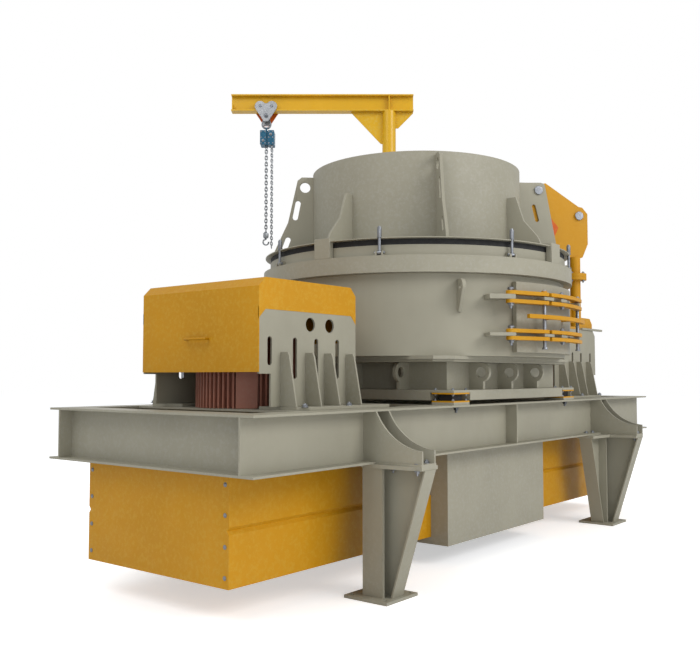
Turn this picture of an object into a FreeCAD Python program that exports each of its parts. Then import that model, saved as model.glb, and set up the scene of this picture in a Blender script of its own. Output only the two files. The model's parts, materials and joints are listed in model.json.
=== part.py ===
import FreeCAD
import Part
import Sketcher
import math
import os

# Vertical-shaft impact crusher with two motors, rebuilt in millimetres.
# +Z is up, z = 0 is the ground, the crusher axis is x = y = 0, X is the long way.
# Every driving size is one row of the sheet, and each feature is bound to it.

SIZES = (
    ("frame_len", 6000, "length of the base frame"),
    ("frame_low", 857, "underside of the base frame"),
    ("frame_top", 1203, "top of the base frame"),
    ("beam_y", 867, "centre of each long beam from the axis"),
    ("flange_w", 220, "width of a long beam flange"),
    ("flange_t", 14, "thickness of a beam flange"),
    ("web_t", 12, "thickness of a beam web"),
    ("end_beam_x", 2897, "centre of each end beam from the axis"),
    ("end_flange_w", 206, "width of an end beam flange"),
    ("cross_w", 150, "width of a cross beam"),
    ("cross_near_x", 860, "cross beams beside the crusher"),
    ("cross_in_x", 1525, "cross beams at the inner end of a motor"),
    ("cross_out_x", 2350, "cross beams at the outer end of a motor"),
    ("leg_x", 1810, "centre of a leg along the frame"),
    ("leg_y", 950, "centre of a foot across the frame"),
    ("column_y", 958, "centre of a leg column across the frame"),
    ("foot_w", 340, "side of a square foot plate"),
    ("foot_t", 20, "thickness of a foot plate"),
    ("anchor_gap", 260, "spacing of the anchor holes in a foot"),
    ("anchor_r", 14, "radius of an anchor hole"),
    ("column_w", 200, "width of a leg column along the frame"),
    ("column_d", 160, "depth of a leg column across the frame"),
    ("column_t", 20, "thickness of a column flange"),
    ("leg_cap_t", 25, "thickness of the plate on top of a leg"),
    ("wing_top", 286, "reach of a leg wing at its top"),
    ("wing_low", 32, "reach of a leg wing at its foot"),
    ("wing_w", 122, "width of the sloping wing flange"),
    ("wing_t", 12, "thickness of a wing plate"),
    ("outrigger_y", 1330, "outer end of an outrigger"),
    ("outrigger_end_z", 953, "height of the outer end of an outrigger"),
    ("outrigger_gap", 138, "spacing of the two outrigger gussets"),
    ("outrigger_x", 1820, "centre of an outrigger along the frame"),
    ("guard_x0", 798, "inner end of a belt guard"),
    ("guard_x1", 2886, "outer end of a belt guard"),
    ("guard_y", 672, "half width of a belt guard"),
    ("guard_z0", 203, "underside of a belt guard"),
    ("groove_z", 532, "middle of the groove along a belt guard"),
    ("groove_h", 44, "height of that groove"),
    ("groove_d", 18, "depth of that groove"),
    ("guard_t", 6, "sheet thickness of a belt guard"),
    ("guard_hole_r", 200, "opening for a motor shaft"),
    ("chute_y", 822, "half width of the discharge box"),
    ("chute_z0", 147, "outlet of the discharge box"),
    ("chute_t", 8, "wall of the discharge box"),
    ("mount_x0", -930, "outer edge of the left isolators"),
    ("mount_x1", 938, "inner edge of the right isolators"),
    ("mount_l", 222, "length of an isolator plate"),
    ("mount_y", 771, "inner edge of the isolators"),
    ("mount_w", 192, "width of an isolator plate"),
    ("mount_base_t", 20, "thickness of a grey isolator plate"),
    ("mount_plate_t", 11, "thickness of a yellow isolator plate"),
    ("rubber_h", 49, "height of the isolator rubber"),
    ("rubber_in", 10, "inset of the rubber from its plates"),
    ("rail_gap", 18, "gap between a rail and the lower isolator plates"),
    ("rail_low", 1236, "underside of the crusher rails"),
    ("rail_w", 100, "width of a crusher rail"),
    ("rail_y", 960, "outer face of the long rails"),
    ("rail_x0", -925, "outer face of the left cross rail"),
    ("rail_x1", 1155, "outer face of the right cross rail"),
    ("box_x", 894, "half length of the crusher base box"),
    ("box_y", 888, "half width of the crusher base box"),
    ("box_h", 210, "height of the crusher base box"),
    ("box_t", 14, "wall of the crusher base box"),
    ("deck_x", 1080, "half length of the deck"),
    ("deck_y", 996, "half width of the deck"),
    ("deck_cut", 112, "corner cut of the deck"),
    ("deck_t", 25, "thickness of the deck"),
    ("under_t", 18, "thickness of the plate under the deck"),
    ("under_in", 20, "inset of the plate under the deck"),
    ("deck_hole_r", 850, "opening in the deck"),
    ("shell_r", 1280, "outer radius of the crushing chamber"),
    ("shell_t", 20, "wall of the crushing chamber"),
    ("shell_h", 618, "height of the crushing chamber"),
    ("band_r", 1348, "outer radius of the clamp band"),
    ("band_h", 128, "height of the clamp band"),
    ("ring_r", 1292, "outer radius of the ring above the band"),
    ("ring_h", 84, "height of the ring above the band"),
    ("ring_in_r", 1240, "inner radius of band, ring and seal"),
    ("seal_r", 1288, "outer radius of the lid seal"),
    ("seal_h", 44, "height of the lid seal"),
    ("lid_r", 1335, "outer radius of the lid flange"),
    ("lid_t", 8, "thickness of the lid flange"),
    ("feed_r", 300, "radius of the feed hole"),
    ("hopper_r", 918, "outer radius of the hopper"),
    ("hopper_t", 12, "wall of the hopper"),
    ("hopper_h", 752, "height of the hopper"),
    ("lug_t", 25, "thickness of a tall hopper lug"),
    ("fin_t", 20, "thickness of a low hopper fin"),
    ("tab_w", 147, "width of a guide tab"),
    ("bolt_pin_r", 1325, "radius of the swing bolt pins from the axis"),
    ("bolt_pin_up", 22, "height of the swing bolt pins above the band"),
    ("bolt_r", 9.5, "radius of a swing bolt shank"),
    ("bolt_top", 2535, "top of a swing bolt"),
    ("nut_r", 16, "radius of a swing bolt nut"),
    ("nut_h", 68, "height of a swing bolt nut"),
    ("clevis_gap", 36, "gap between two clevis lugs"),
    ("clevis_t", 14, "thickness of a clevis lug"),
    ("slot_r", 13, "half width of a lid flange slot"),
    ("post_r", 1500, "lid lifter post from the crusher axis"),
    ("post_out", 50, "outer radius of the lid lifter post"),
    ("ram_r", 30, "radius of the lid lifter ram"),
    ("ram_clear", 0.6, "clearance round the ram"),
    ("post_z0", 1869, "foot of the lid lifter post"),
    ("post_z1", 2318, "joint face of the lid lifter post"),
    ("post_flange_r", 80, "radius of the post flange"),
    ("post_flange_t", 30, "thickness of a post flange"),
    ("post_top", 2500, "top of the upper post"),
    ("door_in", 5, "gap between the door and the chamber"),
    ("door_t", 45, "thickness of the door"),
    ("door_z0", 1597, "underside of the door"),
    ("door_h", 537, "height of the door"),
    ("door_a0", -111, "hinge side of the door, degrees"),
    ("door_a1", -62, "free side of the door, degrees"),
    ("way_in", 4, "overlap of the door over its doorway, degrees"),
    ("way_z0", 1640, "sill of the doorway"),
    ("way_h", 450, "height of the doorway"),
    ("hinge_r", 1400, "radius of the door pins from the axis"),
    ("hinge_a", -115.6, "angle of the hinge pins, degrees"),
    ("rod_a", -101.3, "angle of the link rod, degrees"),
    ("rod2_a", -73.3, "angle of the free side rod, degrees"),
    ("arm_t", 20, "thickness of a hinge arm"),
    ("arm_high", 2007.5, "middle of the upper hinge arm"),
    ("arm_low", 1727.5, "middle of the lower hinge arm"),
    ("link_off", 32.5, "link strap above and below the upper arm"),
    ("link_off_low", 27.5, "link strap above and below the lower arm"),
    ("link_t", 28, "thickness of a link strap"),
    ("link_r", 38, "half width of a link strap"),
    ("pin_r", 14, "radius of a door pin"),
    ("pin_clear", 0.6, "clearance of a door pin"),
    ("motor_x", 2060, "motor shaft from the crusher axis"),
    ("cradle_x0", 1450, "inner end of a motor base"),
    ("cradle_x1", 2425, "outer end of a motor base"),
    ("cradle_y", 760, "half width of a motor base"),
    ("cradle_t", 20, "thickness of a motor base"),
    ("cheek_y", 564, "outer face of a motor cheek"),
    ("cheek_t", 16, "thickness of a motor cheek"),
    ("cheek_in_x", 1583, "inner edge of a motor cheek"),
    ("cheek_out_x", 2541, "outer edge of a motor cheek"),
    ("cheek_top", 1835, "top of a motor cheek"),
    ("cheek_notch_z", 1431, "top of the notch in a cheek"),
    ("cheek_notch_x", 2437, "edge of the notch in a cheek"),
    ("tall_top", 1905, "top of a tall motor cheek"),
    ("tall_x", 2583, "outer edge of a tall motor cheek"),
    ("rib_t", 14, "thickness of a cheek rib"),
    ("slot_w", 40, "width of a cheek slot"),
    ("eye_r", 46, "radius of a lifting hole in a cheek"),
    ("hood_x0", 1584, "inner end of a motor hood"),
    ("hood_x1", 2547, "outer end of a motor hood"),
    ("hood_z", 2035, "top of a motor hood"),
    ("hood_low", 1442, "lower edge of the hood end panel"),
    ("hood_cut_z", 1977, "start of the hood chamfer"),
    ("hood_t", 6, "sheet thickness of a motor hood"),
    ("motor_r", 335, "radius of a motor body"),
    ("motor_z0", 1256, "underside of a motor body"),
    ("motor_h", 610, "height of a motor body"),
    ("fin_h", 32, "height of a motor cooling fin"),
    ("jib_x", 1110, "jib post along the frame"),
    ("jib_y", 1096, "jib post across the frame"),
    ("jib_r", 73, "radius of the jib post"),
    ("jib_clear", 0.6, "clearance of the jib post in its socket"),
    ("socket_r", 97, "outer radius of the jib socket"),
    ("socket_top", 1500, "top of the jib socket"),
    ("jib_z", 4284, "underside of the jib beam"),
    ("jib_beam_h", 181, "height of the jib beam"),
    ("jib_beam_w", 120, "width of the jib beam"),
    ("jib_flange_t", 14, "thickness of a jib beam flange"),
    ("jib_web_t", 10, "thickness of the jib beam web"),
    ("jib_back", 263, "jib beam behind its post"),
    ("jib_reach", 1709, "jib beam in front of its post"),
    ("trolley_s", 1331, "trolley from the jib post"),
    ("wheel_r", 32, "radius of a trolley wheel"),
    ("wheel_gap", 2, "clearance of a trolley wheel on the flange"),
)
VALUES = dict((name, value) for name, value, note in SIZES)


class Size:
    """A number together with the sheet formula that gives it."""

    def __init__(self, value, text):
        self.value = float(value)
        self.text = text

    def __add__(self, other):
        other = size(other)
        return Size(self.value + other.value, "(%s + %s)" % (self.text, other.text))

    def __radd__(self, other):
        return size(other) + self

    def __sub__(self, other):
        other = size(other)
        return Size(self.value - other.value, "(%s - %s)" % (self.text, other.text))

    def __rsub__(self, other):
        return size(other) - self

    def __mul__(self, other):
        other = size(other)
        return Size(self.value * other.value, "(%s * %s)" % (self.text, other.text))

    def __rmul__(self, other):
        return size(other) * self

    def __truediv__(self, other):
        other = size(other)
        return Size(self.value / other.value, "(%s / %s)" % (self.text, other.text))

    def __neg__(self):
        return Size(-self.value, "(0 - %s)" % self.text)


def size(number):
    """Give a plain number the same form as a sheet size."""
    if isinstance(number, Size):
        return number
    return Size(number, "(%s)" % repr(round(float(number), 5)))


class Sheet:
    """Sheet sizes by name."""

    def __getattr__(self, name):
        return Size(VALUES[name], "Dims." + name)


D = Sheet()
V = FreeCAD.Vector
doc = FreeCAD.newDocument("impact_crusher")
table = doc.addObject("Spreadsheet::Sheet", "Dims")
for row, (name, value, note) in enumerate(SIZES, 1):
    table.set("A%d" % row, note)
    table.set("B%d" % row, str(value))
    table.setAlias("B%d" % row, name)
doc.recompute()


def cosd(angle):
    angle = size(angle)
    return Size(math.cos(math.radians(angle.value)), "cos(%s * 1deg)" % angle.text)


def sind(angle):
    angle = size(angle)
    return Size(math.sin(math.radians(angle.value)), "sin(%s * 1deg)" % angle.text)


def bind(thing, prop, amount):
    thing.setExpression(prop, size(amount).text)


# Sketches, features and bodies

def body(label):
    thing = doc.addObject("PartDesign::Body", label)
    thing.Label = label
    return thing


def sketch(owner, plane, offset=0):
    thing = owner.newObject("Sketcher::SketchObject", owner.Name + "_sketch")
    base = [f for f in owner.Origin.OriginFeatures if f.Role == plane + "_Plane"][0]
    thing.AttachmentSupport = (base, [""])
    thing.MapMode = "FlatFace"
    away = -size(offset) if plane == "XZ" else size(offset)
    thing.AttachmentOffset = FreeCAD.Placement(V(0, 0, away.value), FreeCAD.Rotation())
    bind(thing, "AttachmentOffset.Base.z", away)
    return thing


def hold(thing, piece, end, x, y):
    """Hold one point of a sketch at two sheet sizes."""
    if x.value == 0:
        thing.addConstraint(Sketcher.Constraint("PointOnObject", piece, end, -2))
    else:
        at = thing.addConstraint(Sketcher.Constraint("DistanceX", -1, 1, piece, end, x.value))
        thing.setExpression("Constraints[%d]" % at, x.text)
    if y.value == 0:
        thing.addConstraint(Sketcher.Constraint("PointOnObject", piece, end, -1))
    else:
        at = thing.addConstraint(Sketcher.Constraint("DistanceY", -1, 1, piece, end, y.value))
        thing.setExpression("Constraints[%d]" % at, y.text)


def outline(thing, points, bows=None):
    """Closed outline; bows gives {edge: radius}, positive to bulge outward."""
    bows = bows or {}
    points = [(size(x), size(y)) for x, y in points]
    first = thing.GeometryCount
    count = len(points)
    starts = []
    ends = []
    for i in range(count):
        a = V(points[i][0].value, points[i][1].value, 0)
        b = V(points[(i + 1) % count][0].value, points[(i + 1) % count][1].value, 0)
        if i not in bows:
            thing.addGeometry(Part.LineSegment(a, b), False)
            starts.append(1)
            ends.append(2)
            continue
        radius = size(bows[i])
        span = b - a
        half = span.Length / 2.0
        side = V(-span.y, span.x, 0).normalize()
        rise = math.sqrt(max(radius.value ** 2 - half ** 2, 0.0))
        turn = 1 if radius.value > 0 else -1
        centre = (a + b) * 0.5 + side * rise * turn
        middle = centre - side * abs(radius.value) * turn
        arc = Part.Arc(a, middle, b).toShape().Curve
        begin = math.atan2(a.y - centre.y, a.x - centre.x)
        finish = math.atan2(b.y - centre.y, b.x - centre.x)
        circle = Part.Circle(centre, V(0, 0, 1), abs(radius.value))
        if turn > 0:
            thing.addGeometry(Part.ArcOfCircle(circle, begin, finish), False)
            starts.append(1)
            ends.append(2)
        else:
            thing.addGeometry(Part.ArcOfCircle(circle, finish, begin), False)
            starts.append(2)
            ends.append(1)
    for i in range(count):
        j = (i + 1) % count
        joint = Sketcher.Constraint("Coincident", first + i, ends[i], first + j, starts[j])
        thing.addConstraint(joint)
    for i in range(count):
        hold(thing, first + i, starts[i], points[i][0], points[i][1])
        if i in bows:
            radius = size(bows[i])
            at = thing.addConstraint(Sketcher.Constraint("Radius", first + i, abs(radius.value)))
            thing.setExpression("Constraints[%d]" % at, "abs(%s)" % radius.text)


def circle(thing, x, y, r):
    x, y, r = size(x), size(y), size(r)
    shape = Part.Circle(V(x.value, y.value, 0), V(0, 0, 1), r.value)
    at = thing.addGeometry(shape, False)
    if x.value == 0 and y.value == 0:
        thing.addConstraint(Sketcher.Constraint("Coincident", at, 3, -1, 1))
    else:
        hold(thing, at, 3, x, y)
    where = thing.addConstraint(Sketcher.Constraint("Radius", at, r.value))
    thing.setExpression("Constraints[%d]" % where, r.text)


def rectangle(thing, x0, y0, x1, y1):
    outline(thing, [(x0, y0), (x1, y0), (x1, y1), (x0, y1)])


def pad(owner, profile, length, both=False):
    thing = owner.newObject("PartDesign::Pad", owner.Name + "_pad")
    thing.Profile = profile
    thing.SideType = "Symmetric" if both else "One side"
    thing.Length = size(length).value
    bind(thing, "Length", length)
    return thing


def pocket(owner, profile, length=None, both=False, reverse=False):
    thing = owner.newObject("PartDesign::Pocket", owner.Name + "_pocket")
    thing.Profile = profile
    thing.SideType = "Symmetric" if both else "One side"
    thing.Reversed = reverse
    if length is None:
        thing.Type = "ThroughAll"
    else:
        thing.Length = size(length).value
        bind(thing, "Length", length)
    return thing


def revolve(owner, profile):
    thing = owner.newObject("PartDesign::Revolution", owner.Name + "_turn")
    thing.Profile = profile
    thing.ReferenceAxis = (profile, ["V_Axis"])
    thing.Angle = 360
    return thing


def polar(owner, feature, count):
    thing = owner.newObject("PartDesign::PolarPattern", owner.Name + "_pattern")
    thing.Originals = [feature]
    axis = [f for f in owner.Origin.OriginFeatures if f.Role == "Z_Axis"][0]
    thing.Axis = (axis, [""])
    thing.Angle = 360
    thing.Occurrences = count
    owner.Tip = thing
    return thing


def plate(label, plane, points, offset, thick, bows=None, both=False):
    """A flat plate from one outline."""
    owner = body(label)
    profile = sketch(owner, plane, offset)
    outline(profile, points, bows)
    pad(owner, profile, thick, both)
    return owner


def turned(label, points):
    """A solid of revolution about the Z axis from an (r, z) outline."""
    owner = body(label)
    profile = sketch(owner, "XZ")
    outline(profile, points)
    revolve(owner, profile)
    return owner


def ring(label, r_in, r_out, z, h):
    return turned(label, [(r_in, z), (r_out, z), (r_out, size(z) + h), (r_in, size(z) + h)])


# Primitives and combinations

def block(label, x0, y0, z0, dx, dy, dz):
    thing = doc.addObject("Part::Box", label)
    for prop, amount in (("Length", dx), ("Width", dy), ("Height", dz)):
        bind(thing, prop, amount)
    for prop, amount in (("x", x0), ("y", y0), ("z", z0)):
        bind(thing, "Placement.Base." + prop, amount)
    return thing


def rod(label, x, y, z, r, h):
    thing = doc.addObject("Part::Cylinder", label)
    bind(thing, "Radius", r)
    bind(thing, "Height", h)
    for prop, amount in (("x", x), ("y", y), ("z", z)):
        bind(thing, "Placement.Base." + prop, amount)
    return thing


def rod_along(label, axis, x, y, z, r, h):
    """A cylinder centred at a point and lying along X or Y."""
    thing = doc.addObject("Part::Cylinder", label)
    bind(thing, "Radius", r)
    bind(thing, "Height", h)
    if axis == "X":
        thing.Placement.Rotation = FreeCAD.Rotation(V(0, 1, 0), 90)
        x = size(x) - size(h) / 2
    else:
        thing.Placement.Rotation = FreeCAD.Rotation(V(1, 0, 0), -90)
        y = size(y) - size(h) / 2
    for prop, amount in (("x", x), ("y", y), ("z", z)):
        bind(thing, "Placement.Base." + prop, amount)
    return thing


def fuse(label, *parts):
    thing = doc.addObject("Part::MultiFuse", label)
    thing.Shapes = list(parts)
    return thing


def cut(label, base, tool):
    thing = doc.addObject("Part::Cut", label)
    thing.Base = base
    thing.Tool = tool
    return thing


def group(label, *parts):
    thing = doc.addObject("Part::Compound", label)
    thing.Links = list(parts)
    return thing


def turn(label, source, angle):
    """A copy of a piece turned about the crusher axis."""
    thing = group(label, source)
    thing.Placement.Rotation = FreeCAD.Rotation(V(0, 0, 1), 1)
    bind(thing, "Placement.Rotation.Angle", angle)
    return thing


def shift(label, source, dx, dy, dz):
    thing = group(label, source)
    for prop, amount in (("x", dx), ("y", dy), ("z", dz)):
        bind(thing, "Placement.Base." + prop, amount)
    return thing


def mirror(label, source, normal):
    thing = doc.addObject("Part::Mirroring", label)
    thing.Source = source
    thing.Normal = normal
    return thing


NODES = {}


def node(name, thing):
    thing.Label = name
    NODES[name] = thing
    return thing


X_WAY = V(1, 0, 0)
Y_WAY = V(0, 1, 0)

# Base frame: two long beams with outriggers, two end beams, six cross beams

def beam_profile(mid, width, flange, web):
    low, high = D.frame_low, D.frame_top
    w, t = width / 2, web / 2
    return [
        (mid - w, low), (mid + w, low), (mid + w, low + flange), (mid + t, low + flange),
        (mid + t, high - flange), (mid + w, high - flange), (mid + w, high), (mid - w, high),
        (mid - w, high - flange), (mid - t, high - flange), (mid - t, low + flange),
        (mid - w, low + flange),
    ]


flange_y = D.beam_y + D.flange_w / 2
inner_y = D.beam_y - D.flange_w / 2
floor_z = D.frame_low + D.flange_t
roof_z = D.frame_top - D.flange_t
beam = plate("Beam", "YZ", beam_profile(D.beam_y, D.flange_w, D.flange_t, D.web_t),
             0, D.frame_len, both=True)
web_y = D.beam_y + D.web_t / 2
gusset_points = [(web_y, floor_z), (D.outrigger_y, floor_z), (D.outrigger_y, D.outrigger_end_z),
                 (flange_y, roof_z), (web_y, roof_z)]
gusset = plate("Gusset", "YZ", gusset_points, D.outrigger_x - D.outrigger_gap / 2 - D.flange_t / 2,
               D.flange_t, bows={2: -420})
gusset_far = shift("GussetFar", gusset, D.outrigger_gap, 0, 0)
bracket_w = D.outrigger_gap + 2 * D.flange_t
bracket = block("Bracket", D.outrigger_x - bracket_w / 2, flange_y, D.frame_low,
                bracket_w, D.outrigger_y - flange_y, D.flange_t)
outrigger = fuse("Outrigger", gusset, gusset_far, bracket)
outrigger_left = mirror("OutriggerLeft", outrigger, X_WAY)
stiffener = block("Stiffener", 24, web_y, floor_z, D.web_t, D.flange_w / 2 - D.web_t / 2 - 4,
                  roof_z - floor_z)
pad_left = block("PadLeft", D.mount_x0, D.mount_y, D.frame_top, D.mount_l, D.mount_w,
                 D.mount_base_t)
pad_right = block("PadRight", D.mount_x1, D.mount_y, D.frame_top, D.mount_l, D.mount_w,
                  D.mount_base_t)
rear = fuse("RearBeam", beam, outrigger, outrigger_left, stiffener, pad_left, pad_right)
node("rear_long_beam", rear)
node("front_long_beam", mirror("FrontBeam", rear, Y_WAY))

end_beam_web = plate("EndWeb", "XZ", [
    (D.end_beam_x - D.web_t / 2, floor_z), (D.end_beam_x + D.web_t / 2, floor_z),
    (D.end_beam_x + D.web_t / 2, roof_z), (D.end_beam_x - D.web_t / 2, roof_z)],
    0, 2 * (D.beam_y - D.web_t / 2), both=True)
end_beam = plate("EndBeam", "XZ", beam_profile(D.end_beam_x, D.end_flange_w, D.flange_t, D.web_t),
                 0, 2 * inner_y, both=True)
end_right = fuse("EndRight", end_beam, end_beam_web)
node("end_beams", group("EndBeams", end_right, mirror("EndLeft", end_right, X_WAY)))


def cross_beam(label, mid):
    full = plate(label, "XZ", beam_profile(mid, D.cross_w, D.flange_t, D.web_t),
                 0, 2 * inner_y, both=True)
    web = plate(label + "Web", "XZ", [
        (mid - D.web_t / 2, floor_z), (mid + D.web_t / 2, floor_z),
        (mid + D.web_t / 2, roof_z), (mid - D.web_t / 2, roof_z)],
        0, 2 * (D.beam_y - D.web_t / 2), both=True)
    return fuse(label + "Full", full, web)


crosses = group("CrossRight", cross_beam("CrossNear", D.cross_near_x),
                cross_beam("CrossIn", D.cross_in_x), cross_beam("CrossOut", D.cross_out_x))
node("cross_beams", group("CrossBeams", crosses, mirror("CrossLeft", crosses, X_WAY)))

# Legs: a foot plate, a column of H section and two tapering wings

leg_top = D.frame_low - D.leg_cap_t
foot = body("Foot")
foot_sketch = sketch(foot, "XY")
half = D.foot_w / 2
rectangle(foot_sketch, D.leg_x - half, D.leg_y - half, D.leg_x + half, D.leg_y + half)
for sx in (-1, 1):
    for sy in (-1, 1):
        circle(foot_sketch, D.leg_x + sx * D.anchor_gap / 2, D.leg_y + sy * D.anchor_gap / 2,
               D.anchor_r)
pad(foot, foot_sketch, D.foot_t)
cw, cd = D.column_w / 2, D.column_d / 2
ct, cweb = D.column_t, 7
column = plate("Column", "XY", [
    (D.leg_x - cw, D.column_y - cd), (D.leg_x - cw + ct, D.column_y - cd),
    (D.leg_x - cw + ct, D.column_y - cweb), (D.leg_x + cw - ct, D.column_y - cweb),
    (D.leg_x + cw - ct, D.column_y - cd), (D.leg_x + cw, D.column_y - cd),
    (D.leg_x + cw, D.column_y + cd), (D.leg_x + cw - ct, D.column_y + cd),
    (D.leg_x + cw - ct, D.column_y + cweb), (D.leg_x - cw + ct, D.column_y + cweb),
    (D.leg_x - cw + ct, D.column_y + cd), (D.leg_x - cw, D.column_y + cd)],
    D.foot_t, leg_top - D.foot_t)


def wing(label, plane, start, face, direction, middle):
    """A tapering web with its sloping flange."""
    low = face + direction * D.wing_low
    high = face + direction * D.wing_top
    thick = direction * D.wing_t
    web = plate(label + "Web", plane, [(start, D.foot_t), (low, D.foot_t), (high, leg_top),
                                       (start, leg_top)], middle, D.wing_t, both=True)
    flange = plate(label + "Flange", plane, [(low, D.foot_t), (low + thick, D.foot_t),
                                             (high + thick, leg_top), (high, leg_top)],
                   middle, D.wing_w, both=True)
    return fuse(label, web, flange)


wing_out = wing("WingOut", "YZ", D.column_y + cweb, D.column_y + cd, 1, D.leg_x)
wing_in = wing("WingIn", "XZ", D.leg_x - cw, D.leg_x - cw, -1, D.column_y)
cap_in = D.leg_x - cw - D.wing_top - 14
cap_out = D.outrigger_y
cap = plate("LegCap", "XY", [
    (cap_in, D.column_y - cd), (D.leg_x + cw + 20, D.column_y - cd),
    (D.leg_x + cw + 20, D.column_y + cd), (D.leg_x + cw - 10, cap_out),
    (D.leg_x - cw + 10, cap_out), (D.leg_x - cw, D.column_y + cd + 40),
    (cap_in, D.column_y + cd)], leg_top, D.leg_cap_t)
leg = fuse("Leg", foot, column, wing_out, wing_in, cap)
node("leg_rear_right", leg)
node("leg_rear_left", mirror("LegRearLeft", leg, X_WAY))
node("leg_front_right", mirror("LegFrontRight", leg, Y_WAY))
node("leg_front_left", turn("LegFrontLeft", leg, 180))

# Belt guards under the frame and the discharge box between them

gy, gz, gt = D.guard_y, D.guard_z0, D.guard_t
groove_a, groove_b = D.groove_z - D.groove_h / 2, D.groove_z + D.groove_h / 2
groove_y = gy - D.groove_d
guard = body("Guard")
guard_sketch = sketch(guard, "YZ", D.guard_x0)
outline(guard_sketch, [(-gy, gz), (gy, gz), (gy, groove_a), (groove_y, D.groove_z),
                       (gy, groove_b), (gy, D.frame_low), (-gy, D.frame_low),
                       (-gy, groove_b), (-groove_y, D.groove_z), (-gy, groove_a)])
pad(guard, guard_sketch, D.guard_x1 - D.guard_x0)
room = sketch(guard, "YZ", D.guard_x0 + gt)
rectangle(room, -groove_y + gt, gz + gt, groove_y - gt, D.frame_low - gt)
pocket(guard, room, D.guard_x1 - D.guard_x0 - 2 * gt, reverse=True)
shaft_hole = sketch(guard, "XY", D.frame_low)
circle(shaft_hole, D.motor_x, 0, D.guard_hole_r)
pocket(guard, shaft_hole, 2 * gt)
node("belt_guard_right", guard)
node("belt_guard_left", mirror("GuardLeft", guard, X_WAY))

chute = body("Chute")
chute_sketch = sketch(chute, "XY", D.chute_z0)
cx, cy = D.guard_x0, D.chute_y
rectangle(chute_sketch, -cx, -cy, cx, cy)
rectangle(chute_sketch, -cx + D.chute_t, -cy + D.chute_t, cx - D.chute_t, cy - D.chute_t)
pad(chute, chute_sketch, D.frame_low - D.chute_z0)
node("discharge_box", chute)

# Isolators and the rail frame that they carry

plate_z = D.frame_top + D.mount_base_t
rubber_z = plate_z + D.mount_plate_t
cap_z = rubber_z + D.rubber_h
seat_z = cap_z + D.mount_plate_t
box_z = seat_z + D.mount_base_t
plates = []
rubbers = []
seats = []
for side, edge in (("Left", D.mount_x0), ("Right", D.mount_x1)):
    low = block("Low" + side, edge, D.mount_y, plate_z, D.mount_l, D.mount_w, D.mount_plate_t)
    top = block("Top" + side, edge, D.mount_y, cap_z, D.mount_l, D.mount_w, D.mount_plate_t)
    ins = D.rubber_in
    rubber = block("Rubber" + side, edge + ins, D.mount_y + ins, rubber_z,
                   D.mount_l - 2 * ins, D.mount_w - 2 * ins, D.rubber_h)
    start = edge if side == "Left" else edge - D.rail_gap
    seat = block("Seat" + side, start, D.mount_y - D.rail_gap, seat_z,
                 D.mount_l + D.rail_gap, D.mount_w + D.rail_gap, D.mount_base_t)
    plates += [low, top]
    rubbers.append(rubber)
    seats.append(seat)
plate_set = group("PlateSet", *plates)
rubber_set = group("RubberSet", *rubbers)
node("isolator_plates", group("Plates", plate_set, mirror("PlatesFront", plate_set, Y_WAY)))
node("isolator_rubbers", group("Rubbers", rubber_set, mirror("RubbersFront", rubber_set, Y_WAY)))
rail_a = D.mount_x0 + D.mount_l + D.rail_gap
rail_b = D.mount_x1 - D.rail_gap
rail_h = box_z - D.rail_low
cross_y = D.mount_y - D.rail_gap
long_rail = block("LongRail", rail_a, D.rail_y - D.rail_w, D.rail_low, rail_b - rail_a,
                  D.rail_w, rail_h)
left_rail = block("LeftRail", D.rail_x0, 0, D.rail_low, D.rail_w, cross_y, rail_h)
right_rail = block("RightRail", D.rail_x1 - D.rail_w, 0, D.rail_low, D.rail_w, cross_y, rail_h)
tie = block("Tie", rail_b - D.rail_w, 0, D.rail_low, D.rail_w, D.rail_y - D.rail_w, rail_h)
rails = fuse("RailsRear", long_rail, left_rail, right_rail, tie, seats[0], seats[1])
node("base_rails", fuse("Rails", rails, mirror("RailsFront", rails, Y_WAY)))

# Base box and deck

base = body("BaseBox")
base_sketch = sketch(base, "XY", box_z)
rectangle(base_sketch, -D.box_x, -D.box_y, D.box_x, D.box_y)
rectangle(base_sketch, -D.box_x + D.box_t, -D.box_y + D.box_t, D.box_x - D.box_t,
          D.box_y - D.box_t)
pad(base, base_sketch, D.box_h)


def cut_corners(thing, half_x, half_y, corner):
    outline(thing, [(-half_x + corner, -half_y), (half_x - corner, -half_y),
                    (half_x, -half_y + corner), (half_x, half_y - corner),
                    (half_x - corner, half_y), (-half_x + corner, half_y),
                    (-half_x, half_y - corner), (-half_x, -half_y + corner)])


under = body("UnderPlate")
under_sketch = sketch(under, "XY", box_z + D.box_h)
cut_corners(under_sketch, D.deck_x - D.under_in, D.deck_y - D.under_in, D.deck_cut)
circle(under_sketch, 0, 0, D.deck_hole_r)
pad(under, under_sketch, D.under_t)
node("base_box", fuse("BaseBoxFull", base, under))
deck_z = box_z + D.box_h + D.under_t
shell_z = deck_z + D.deck_t
deck = body("Deck")
deck_sketch = sketch(deck, "XY", deck_z)
cut_corners(deck_sketch, D.deck_x, D.deck_y, D.deck_cut)
circle(deck_sketch, 0, 0, D.deck_hole_r)
pad(deck, deck_sketch, D.deck_t)
node("deck_plate", deck)

# Rotor and its bearing housing, standing on four arms inside the base box

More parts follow.
